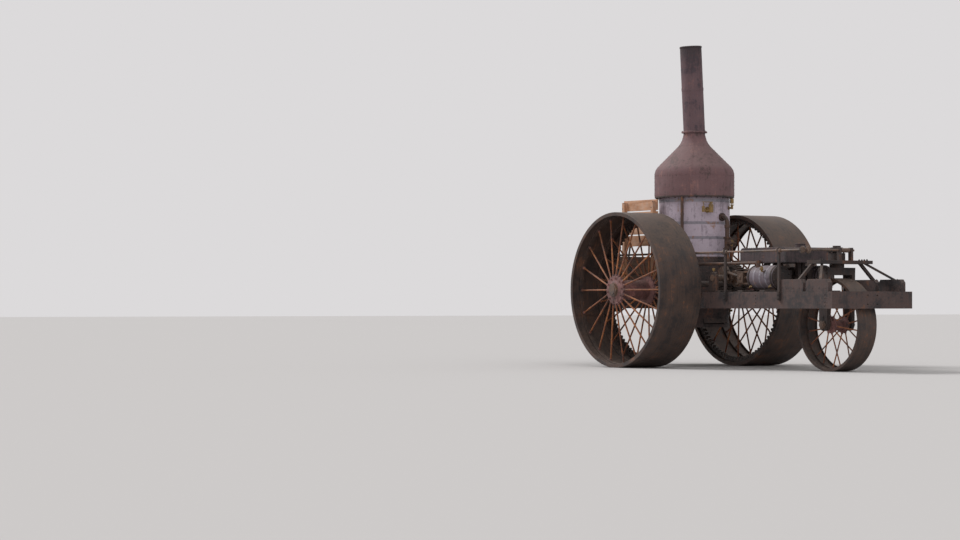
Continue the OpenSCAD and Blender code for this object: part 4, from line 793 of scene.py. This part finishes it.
# Steam and exhaust pipes. Drawn iron pipe, brown with rust, is screwed into
# flanges; studs hold the throttle's bonnet and clips tie the exhaust to the
# barrel.
pipe_finish = rusted_iron("drawn_pipe_brown_rust", "#2b2423", "#503b32", "#8a5a3e", "#6d6461", "#84776f",
                          patch=0.5, orange_from=0.62, streaks=0.4)
dressed("steam_pipe", pipe_finish, edge=1.5)
dressed("exhaust_pipe", pipe_finish, edge=1.5)
pipe_x, pipe_y, throttle_z, bonnet_half = axle_x + shell_r + 0.13, 0.12, 1.96, 0.09
studs, bonnet_circle, flange_circle = 30 + 60 * np.arange(6), 0.055, 0.052
sleeve = sized((34, 0), (44, 1), (45, 4), (45, 46), (44, 49), (34, 50))
pipe_bits = [hoop(sleeve, (pipe_x, pipe_y, z), up, 32) for z in (2.20, 1.66)]
pipe_bits += [hoop(sleeve, (pipe_x + x, pipe_y, 1.518), ahead, 32) for x in (0.14, 0.62)]
pipe_nuts = []
for way in (-1, 1):
    face = (pipe_x, pipe_y, throttle_z + way * bonnet_half)
    pipe_nuts += nuts(face + bonnet_circle * fan(studs), way * up, 9, 6)
pipe_foot = (axle_x + shell_r + 0.014, pipe_y, barrel_top - 0.34)
pipe_nuts += nuts(pipe_foot + flange_circle * fan(studs, left, up), ahead, 9, 6)
exhaust_low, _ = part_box("exhaust_pipe")
exhaust = np.array([exhaust_low[0] + 0.024, exhaust_low[1] + 0.036, 0])
outward = unit(exhaust - axle_x * ahead)
for z in (1.92, 2.42):
    pipe_bits.append(hoop(oblong(24, 27, -16, 16), exhaust + z * up, up, 32))
    pipe_nuts += nuts(exhaust + outward * 0.026 + z * up, outward, 8, 6)
pipe_bits.append(hoop(sleeve * (0.705, 1), exhaust + 2.14 * up, up, 32))
surface("pipe_sleeves", pipe_bits, pipe_finish)
surface("pipe_nuts", pipe_nuts, pipe_finish)


# Engine bed, cylinders and valve chests. Lagging sheet, grey-brown, is strapped
# round the cast barrels; covers are held by studs and nuts, and brass cocks and
# cups stick out of the lagging.
lagging_finish = rusted_iron("cylinder_lagging_grey_brown", "#453c42", "#675c64", "#7f6360", "#8a8288",
                             "#9a8f8c", streaks=0.5, orange_from=0.68, rough=(0.5, 0.75))
dressed("engine_bed", dark_finish, edge=3)
cyl_low, cyl_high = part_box("cylinders")
cyl_y, cyl_r, engine_z = 0.43, 0.18, 1.40
cover_t, cover_circle, strap_tilt = 0.0145, 0.150, math.degrees(0.35)
repaint(dressed("cylinders", lagging_finish, edge=3), dark_finish,
        lambda at, facing: (np.abs(np.hypot(np.abs(at[:, 1]) - cyl_y, at[:, 2] - engine_z) - cyl_r) > 0.004)
        | (np.abs(facing[:, 0]) > 0.9))
dome = sized((170, -1), (170, 12), (166, 15), (128, 17), (120, 21), (70, 27), (64, 34), (10, 38))
back_cover = sized((170, -1), (170, 12), (166, 15), (62, 17), (60, 30), (40, 32), (38, 44), (27, 46))
cock_body = sized((9, -3), (9, 24), (14, 26), (14, 44), (8, 46), (8, 58))
tall_cup = sized((10, 0), (10, 16), (24, 22), (26, 30), (26, 62), (22, 70), (10, 74), (10, 82), (4, 86))
chest_x = np.linspace(cyl_low[0] + 0.10, cyl_high[0] - 0.10, 6)
covers, cover_nuts, straps, brass_bits = [], [], [], []
for out in (-1, 1):
    line = np.array([0, out * cyl_y, engine_z])
    for x, way, cover in ((cyl_high[0], 1, dome), (cyl_low[0], -1, back_cover)):
        covers.append(turned(line + x * ahead, way * ahead, cover, 64))
        face = line + (x + way * cover_t) * ahead
        cover_nuts += nuts(face + cover_circle * fan(18 + 36 * np.arange(10), left, up), way * ahead, 13, 8)
    tilted = fan(strap_tilt, out * left, up)[0]
    for x in cyl_low[0] + np.array([0.16, 0.30, 0.44]):
        straps.append(hoop(oblong(-1, 2, -14, 14) + (cyl_r, 0), line + x * ahead, ahead, 64))
        straps += rivets(line + x * ahead + (cyl_r + 0.002) * tilted, tilted, 7)
    chest_y = out * (cyl_y - cyl_r - 0.09)
    for picked, z in (([0, 2, 3, 4, 5], sized(90)), (range(6), sized(-90)), ([0, 5], sized(-30, 30))):
        cover_nuts += nuts(places(chest_x[picked], chest_y, engine_z + z), -out * left, 12, 7)
    away = fan(-40, out * left, up)[0]
    for x in cyl_low[0] + np.array([0.07, 0.53]):
        foot = line + x * ahead + (cyl_r + 0.007) * away
        brass_bits.append(turned(foot, away, cock_body, 12))
        brass_bits.append(turned(foot + away * 0.035 + 0.012 * ahead, ahead,
                                 sized((5, 0), (5, 20), (4, 40)), 6))
    foot = line + (cyl_low[0] + 0.37) * ahead + (cyl_r - 0.002) * fan(30, out * left, up)[0]
    brass_bits.append(turned(foot, out * left, sized((8, -4), (8, 38)), 12))
    brass_bits.append(turned(foot + (0, out * 0.034, -0.006), up, tall_cup, 20))
surface("cylinder_covers", covers, dark_finish, keen=30)
surface("cylinder_nuts", cover_nuts, dark_finish)
surface("lagging_straps", straps, band_finish)


# Running gear, valve gear, crankshaft and gears. Forged and turned steel that
# once ran bright in oil; old grease keeps it dark between films of rust.
for part, finish, edge in (("running_gear", shaft_finish, 2), ("valve_gear", shaft_finish, 1.5),
                           ("crankshaft", shaft_finish, 2), ("flywheel", gear_finish, 3),
                           ("countershaft", gear_finish, 1.5), ("counter_bearings", dark_finish, 3)):
    dressed(part, finish, edge)
crank_x, crank_r, rod_l = axle_x + 1.3954, 0.125, 0.48
counter_x, counter_z, guide_top = axle_x + 0.9708, 1.31, engine_z + 0.1005
small_cup = sized((8, 0), (8, 10), (17, 12), (17, 30), (12, 34))
bearing_cup = sized((9, 0), (9, 14), (22, 20), (22, 46), (24, 48), (24, 53), (9, 58))
gear_bits, cap_bits = [], []
for out, angle in ((1, 35), (-1, 125)):
    line = np.array([0, out * cyl_y, engine_z])
    pin = line + crank_x * ahead + crank_r * fan(angle, ahead, up)[0]
    head = line + (pin[0] + math.sqrt(rod_l ** 2 - (pin[2] - engine_z) ** 2)) * ahead
    along = (head - pin) / rod_l
    square = np.cross(along, left)
    gear_bits.append(turned(pin + along * 0.092, square, sized((13, -46), (15, 44)), 4, math.pi / 4))
    gear_bits.append(turned(pin + square * 0.060, square, small_cup, 16))
    for x in (cyl_low[0] - 0.03, crank_x + 0.29):
        gear_bits += nuts(places(x, line[1] + sized(-30, 30), guide_top), up, 9, 6)
    gear_bits.append(turned(head + out * 0.058 * left, out * left, sized((24, 0), (24, 10), (20, 14)), 6))
    gear_bits += nuts(places(cyl_low[0] - 0.0395, out * 0.27 + sized(-21, 21), engine_z), -ahead, 6, 8)
surface("rod_cotters_and_nuts", gear_bits, shaft_finish)
for out in (-1, 1):
    for x, z, r, y in ((counter_x, counter_z, 0.090, 0.70), (crank_x, engine_z, 0.095, 0.685)):
        cap = np.array([x, out * y, z])
        for way in (-1, 1):
            cap_bits += nuts(cap + (way * r * 0.72, 0, r * 0.69), (way * 0.55, 0, 0.83), 14, 10)
        half = 1000 * r + 0.7
        cap_bits.append(turned(cap + (0.001, 0, -0.004), ahead, sized((2, -half), (2, half)), 4))
        brass_bits.append(turned(cap + (r - 0.002) * up, up, bearing_cup, 20))
surface("bearing_caps", cap_bits, dark_finish)
surface("engine_cocks_and_cups", brass_bits, brass_finish)


# Water tank across the frame. Black plate with rolled top edges, lap seams and
# close rivets, an open filler neck and a pair of try cocks behind.
tank_finish = rusted_iron("tank_plate_black_and_rust", "#2a2426", "#443739", "#6f4c3e", "#6a5f62", "#8b7e76",
                          streaks=0.6, orange_from=0.64, dents=14)
dressed("water_tank", tank_finish, edge=4)
dressed("tank_posts", dark_finish, edge=2)
tank_low, tank_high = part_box("water_tank")
tank_top, filler_x, rivet_pitch = tank_high[2] - 0.060, axle_x + 2.64, 0.0495
run = np.arange(tank_low[0] + 0.055, tank_high[0] - 0.04, rivet_pitch)
rise = np.arange(tank_low[2] + 0.07, tank_top - 0.05, 0.045)
cross = np.arange(tank_low[1] + 0.05, tank_high[1] - 0.04, rivet_pitch)
lap_x = (tank_low[0] + tank_high[0]) / 2 + sized(-13, 13)
tank_rivets = []
for out in (-1, 1):
    side_y = out * tank_high[1]
    tank_rivets += rivets(places(run, side_y, [tank_low[2] + 0.022, tank_top - 0.050]), out * left, 8)
    tank_rivets += rivets(places([tank_low[0] + 0.022, tank_high[0] - 0.022], side_y, rise), out * left, 8)
    tank_rivets += rivets(places(lap_x, side_y, rise), out * left, 7)
    tank_rivets += rivets(places(run, out * (tank_high[1] - 0.025), tank_top), up, 8)
for x, way in ((tank_low[0], -1), (tank_high[0], 1)):
    tank_rivets += rivets(places(x, cross, [tank_low[2] + 0.022, tank_top - 0.065]), way * ahead, 8)
tank_rivets += rivets(places(lap_x, cross, tank_top), up, 7)
filler = np.array([filler_x, 0, tank_top])
tank_rivets += rivets(filler + 0.1 * fan(30 * np.arange(12)) + 0.0035 * up, up, 7)
tank_rivets.append(hoop(sized((80, -1), (116, -1), (116, 4), (80, 5)), filler, up, 48))
tank_rivets.append(hoop(sized((79.5, 50), (84, 51), (84, 58), (79.5, 59)), filler, up, 48))
surface("tank_rivets", tank_rivets, tank_finish)
cocks = places(tank_low[0] + 0.001, -0.30, tank_low[2] + sized(50, 140))
try_cock = sized((16, 0), (16, 6), (8, 8), (8, 40), (12, 42), (12, 58), (6, 60), (6, 74))
surface("tank_try_cocks", [turned(cocks, -ahead, try_cock, 12),
                           turned(cocks - 0.049 * ahead, left, sized((5, 0), (5, 30), (4, 32)))],
        brass_finish)


# Feed pipe. Copper pipe, brown with age, takes water from the tank back over
# the crankshaft and up the boiler's front to a brass clack valve.
def bent_pipe(corners, radius, bend, sides=14):
    """A tube of that radius along straight runs; each corner is the curve (1-t)^2 a + 2t(1-t) c + t^2 b,
    with a and b the points at the length bend before and after the corner c."""
    corners = np.asarray(corners, float)
    path = [corners[0]]
    t = np.linspace(0, 1, 9)[:, None]
    for before, corner, after in zip(corners, corners[1:], corners[2:]):
        a, b = corner + unit(before - corner) * bend, corner + unit(after - corner) * bend
        path += list((1 - t) ** 2 * a + 2 * t * (1 - t) * corner + t ** 2 * b)
    path.append(corners[-1])
    return carried(path, radius * fan(360 * np.arange(sides) / sides)[:, :2], (0.02, 1, 0.03))


copper_finish = rusted_iron("copper_pipe_gone_brown", "#4a2f24", "#6e4632", "#8a5a40", "#a8714f", "#8b7a6a",
                            bare=0.45, rough=(0.35, 0.65), pits=0.5)
feed_y, feed_z = 0.30, tank_low[2] + 0.055
feed_x = axle_x + math.sqrt(barrel_r ** 2 - feed_y ** 2)
clack = np.array([feed_x + 0.11, feed_y, 1.98])
surface("feed_pipe", [bent_pipe([(tank_low[0] + 0.002, feed_y, feed_z), (clack[0], feed_y, feed_z), clack],
                                0.014, 0.07)], copper_finish)
union = sized((14, 0), (23, 1), (23, 24), (20, 27), (14, 28))
clack_body = sized((14, -44), (22, -42), (22, -30), (30, -24), (33, 0), (30, 24), (22, 30), (24, 34),
                   (24, 46), (12, 50))
surface("feed_clack_and_unions", [
    turned((tank_low[0] + 0.001, feed_y, feed_z), -ahead, union, 6), turned(clack, up, clack_body, 24),
    turned(clack, -ahead, sized((15, 0), (15, 104)), 16),
    turned((feed_x - 0.004, feed_y, clack[2]), ahead, sized((36, 0), (36, 10), (16, 13)), 24),
    turned(clack - 0.044 * up, -up, union, 6), turned((tank_low[0] - 0.42, feed_y, feed_z), ahead, union, 6),
], brass_finish)


# Deck, bunker and side racks. Sawn boards: the deck is trodden grey-brown, the
# bunker is stained, and the racks are newer pale softwood with gaps between
# the boards. Grain runs along each board.
def sawn_wood(name, dark, mid_tone, light, weather, along, rough=(0.6, 0.85), split=None, greyed=0.4):
    """Wood with its grain along one axis: growth rings are the level lines of a slow noise drawn out 9
    times along the board, sin(44 n), fibres of 2 mm are drawn out 40 times, 90 mm patches have
    weathered, and split (axis, board mm, first mm) gives a dark joint and each board its own shade."""
    finish, tree, place = blank(name)
    here = place.outputs["Object"]
    fine, slow = [1.0, 1.0, 1.0], [1.0, 1.0, 1.0]
    fine[along], slow[along] = 1 / 40, 1 / 9
    drawn = add(tree, "Mapping", Vector=here, Scale=fine)
    fibres = add(tree, "TexNoise", Vector=drawn, Scale=1 / 0.002, Detail=4, Roughness=0.6)
    bowed = add(tree, "Mapping", Vector=here, Scale=slow)
    growth = add(tree, "TexNoise", Vector=bowed, Scale=1 / 0.16, Detail=1.4, Roughness=0.4)
    phase = add(tree, "Math", operation="MULTIPLY", in_0=growth, in_1=44.0)
    rings = add(tree, "Math", operation="SINE", in_0=phase)
    patches = add(tree, "TexNoise", Vector=here, Scale=1 / 0.09, Detail=6, Roughness=0.65)
    grain = add(tree, "Math", operation="MULTIPLY_ADD", in_0=rings, in_1=0.11, in_2=fibres)
    tone = add(tree, "MapRange", Value=grain, From_Min=0.22, From_Max=0.78)
    if split:
        at = add(tree, "SeparateXYZ", Vector=here)
        count = add(tree, "Math", operation="MULTIPLY_ADD", in_0=at.outputs[split[0]], in_1=1000 / split[1],
                    in_2=-split[2] / split[1])
        whole = add(tree, "Math", operation="FLOOR", in_0=count)
        inside = add(tree, "Math", operation="FRACT", in_0=count)
        centred = add(tree, "Math", operation="SUBTRACT", in_0=inside, in_1=0.5)
        off_centre = add(tree, "Math", operation="ABSOLUTE", in_0=centred)
        joint = add(tree, "MapRange", Value=off_centre, From_Min=0.5 - 3.5 / split[1],
                    From_Max=0.5 - 1 / split[1])
        shade = add(tree, "TexWhiteNoise", noise_dimensions="1D", W=whole)
        lift = add(tree, "MapRange", Value=shade, To_Min=-0.22, To_Max=0.22)
        tone = add(tree, "Math", operation="ADD", use_clamp=True, in_0=tone, in_1=lift)
    timber = ramped(tree, tone, (0.12, dark), (0.5, mid_tone), (0.88, light))
    worn = add(tree, "MapRange", Value=patches, From_Min=0.42, From_Max=0.68, To_Max=greyed)
    aged = add(tree, "MixRGB", Fac=worn, Color1=timber, Color2=linear(weather))
    if split:
        aged = add(tree, "MixRGB", Fac=joint, Color1=aged, Color2=linear("#1f1814"))
    dull = add(tree, "MapRange", Value=fibres, From_Min=0.3, From_Max=0.7,
               To_Min=rough[0], To_Max=rough[1])
    relief = add(tree, "Bump", Strength=0.5, Distance=0.0008, Height=grain)
    shader = add(tree, "BsdfPrincipled", Base_Color=aged, Roughness=dull, Normal=relief)
    add(tree, "OutputMaterial", Surface=shader)
    return finish


deck_finish = sawn_wood("trodden_deck_planks", "#4b3d34", "#6f5b4d", "#8b7565", "#8e8580", along=1,
                        greyed=0.65)
bunker_low, bunker_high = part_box("fuel_bunker")
board_h, joint_drop = 140, 9
bunker_finish, bunker_ends = (
    sawn_wood("stained_bunker_boards_" + "xy"[way], "#43362e", "#695344", "#836a58", "#7d726b", along=way,
              split=(2, board_h, bunker_low[2] * 1000 - joint_drop), greyed=0.6) for way in (0, 1))
rack_finish = sawn_wood("pale_sawn_softwood", "#94684a", "#b98766", "#cd9f80", "#b7a294", along=0,
                        greyed=0.45)
dressed("deck_planks", deck_finish, edge=3)
repaint(dressed("fuel_bunker", bunker_finish, edge=2), bunker_ends,
        lambda at, facing: np.abs(facing[:, 0]) > 0.7)
post_finish = sawn_wood("pale_sawn_softwood_posts", "#94684a", "#b48362", "#c69979", "#af9a8d", along=2,
                        greyed=0.55)
board_back_y = 0.6605
repaint(dressed("side_racks", rack_finish, edge=3), post_finish,
        lambda at, facing: np.abs(at[:, 1]) > board_back_y)
deck_low, deck_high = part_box("deck_planks")
planks, plank_gap = 8, 0.008
pitch = (deck_high[0] - deck_low[0] + plank_gap) / planks
plank_x = deck_low[0] - plank_gap / 2 + pitch * (np.arange(planks) + 0.5)
surface("deck_coach_bolts", rivets(places(plank_x, [-0.70, 0.70], deck_high[2] - 0.001), up, 12),
        dark_finish)
angle_iron = sized((-4, -4), (46, -4), (46, 0.5), (0.5, 0.5), (0.5, 46), (-4, 46))
heights = bunker_low[2] + 0.07 + board_h * mm * np.arange(4)
irons, iron_bolts = [], []
for x, way in ((bunker_low[0], 1), (bunker_high[0], -1)):
    for out in (-1, 1):
        corner = (x, out * bunker_high[1], 0) + angle_iron @ (way * ahead, -out * left)
        irons.append(upright(corner, bunker_low[2], bunker_high[2] - 0.004))
        iron_bolts += rivets(places(x + way * 0.026, out * (bunker_high[1] + 0.0035), heights), out * left, 8)
        iron_bolts += rivets(places(x - way * 0.0035, out * (bunker_high[1] - 0.026), heights),
                             -way * ahead, 8)
for x in (bunker_low[0] + 0.25, bunker_high[0] - 0.25):
    for out in (-1, 1):
        iron_bolts += rivets(places(x + sized(-20, 20), out * (bunker_high[1] - 0.0005), heights),
                             out * left, 6)
surface("bunker_corner_irons", irons + iron_bolts, dark_finish)
board_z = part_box("side_racks")[1][2] - 0.085 - 0.19 * np.arange(4)
rack_bolts = []
for out in (-1, 1):
    for x in (axle_x - 0.955, axle_x - 0.170):
        for step in (-1, 1):
            bolt_x, bolt_z = x + 0.018 * step, board_z + 0.045 * step
            rack_bolts += rivets(places(bolt_x, out * 0.7195, bolt_z), out * left, 10)
            rack_bolts += nuts(places(bolt_x, out * 0.6325, bolt_z), -out * left, 9, 5)
surface("rack_coach_bolts", rack_bolts, dark_finish)


# Reversing and throttle levers. Flat forged bars in a notched plate quadrant
# bolted to the deck.
dressed("control_levers", dark_finish, edge=1)
quadrant_bolts = places(axle_x - 1.16 + sized(-145, 145), -0.57, deck_high[2] + 0.012)
surface("lever_bolts", nuts(quadrant_bolts, up, 10, 6), dark_finish)


# The studio: a plain pale floor, two wide soft suns and an even sky. The floor
# keeps the shadow, while camera and mirror rays see one flat backdrop tone.
floor_half, cells = 160, 8
ground = places(*[np.linspace(-floor_half, floor_half, cells + 1)] * 2, -0.0005)
cell = np.arange((cells + 1) ** 2).reshape(cells + 1, cells + 1)
squares = np.stack([cell[:-1, :-1], cell[1:, :-1], cell[1:, 1:], cell[:-1, 1:]], -1).reshape(-1, 4)
floor_mesh = bpy.data.meshes.new("floor")
floor_mesh.from_pydata(ground.tolist(), [], squares.tolist())
floor = bpy.data.objects.new("floor", floor_mesh)
bpy.context.scene.collection.objects.link(floor)
matt = bpy.data.materials.new("matt_pale_floor")
matt.use_nodes = True
for name, value in (("Base Color", linear("#c9c6c5")), ("Roughness", 1.0), ("Specular IOR Level", 0.0)):
    matt.node_tree.nodes["Principled BSDF"].inputs[name].default_value = value
floor_mesh.materials.append(matt)
for name, away, strength, spread in (("key", (-0.815, -0.579, 0.84), 2.1, 24),
                                     ("fill", (0.9, -0.35, 0.55), 0.75, 60)):
    sun = bpy.data.objects.new(name, bpy.data.lights.new(name, "SUN"))
    sun.data.energy = strength
    sun.data.angle = math.radians(spread)
    sun.rotation_euler = (-Vector(away)).to_track_quat("-Z", "Y").to_euler()
    bpy.context.scene.collection.objects.link(sun)
world = bpy.data.worlds.new("studio")
bpy.context.scene.world = world
world.use_nodes = True
sky = world.node_tree
sky.nodes.clear()
rays = add(sky, "LightPath").outputs
seen = add(sky, "Math", operation="MAXIMUM", in_0=rays["Is Camera Ray"], in_1=rays["Is Glossy Ray"])
looked = add(sky, "Math", operation="MAXIMUM", in_0=seen, in_1=rays["Is Transmission Ray"])
soft = add(sky, "Background", Color=(1, 1, 1, 1), Strength=0.5)
shown = add(sky, "Background", Color=linear("#dcdadb"), Strength=1.0)
both = add(sky, "MixShader", Fac=looked, in_1=soft, in_2=shown)
add(sky, "OutputWorld", Surface=both)
bpy.context.scene.view_settings.view_transform = "Standard"
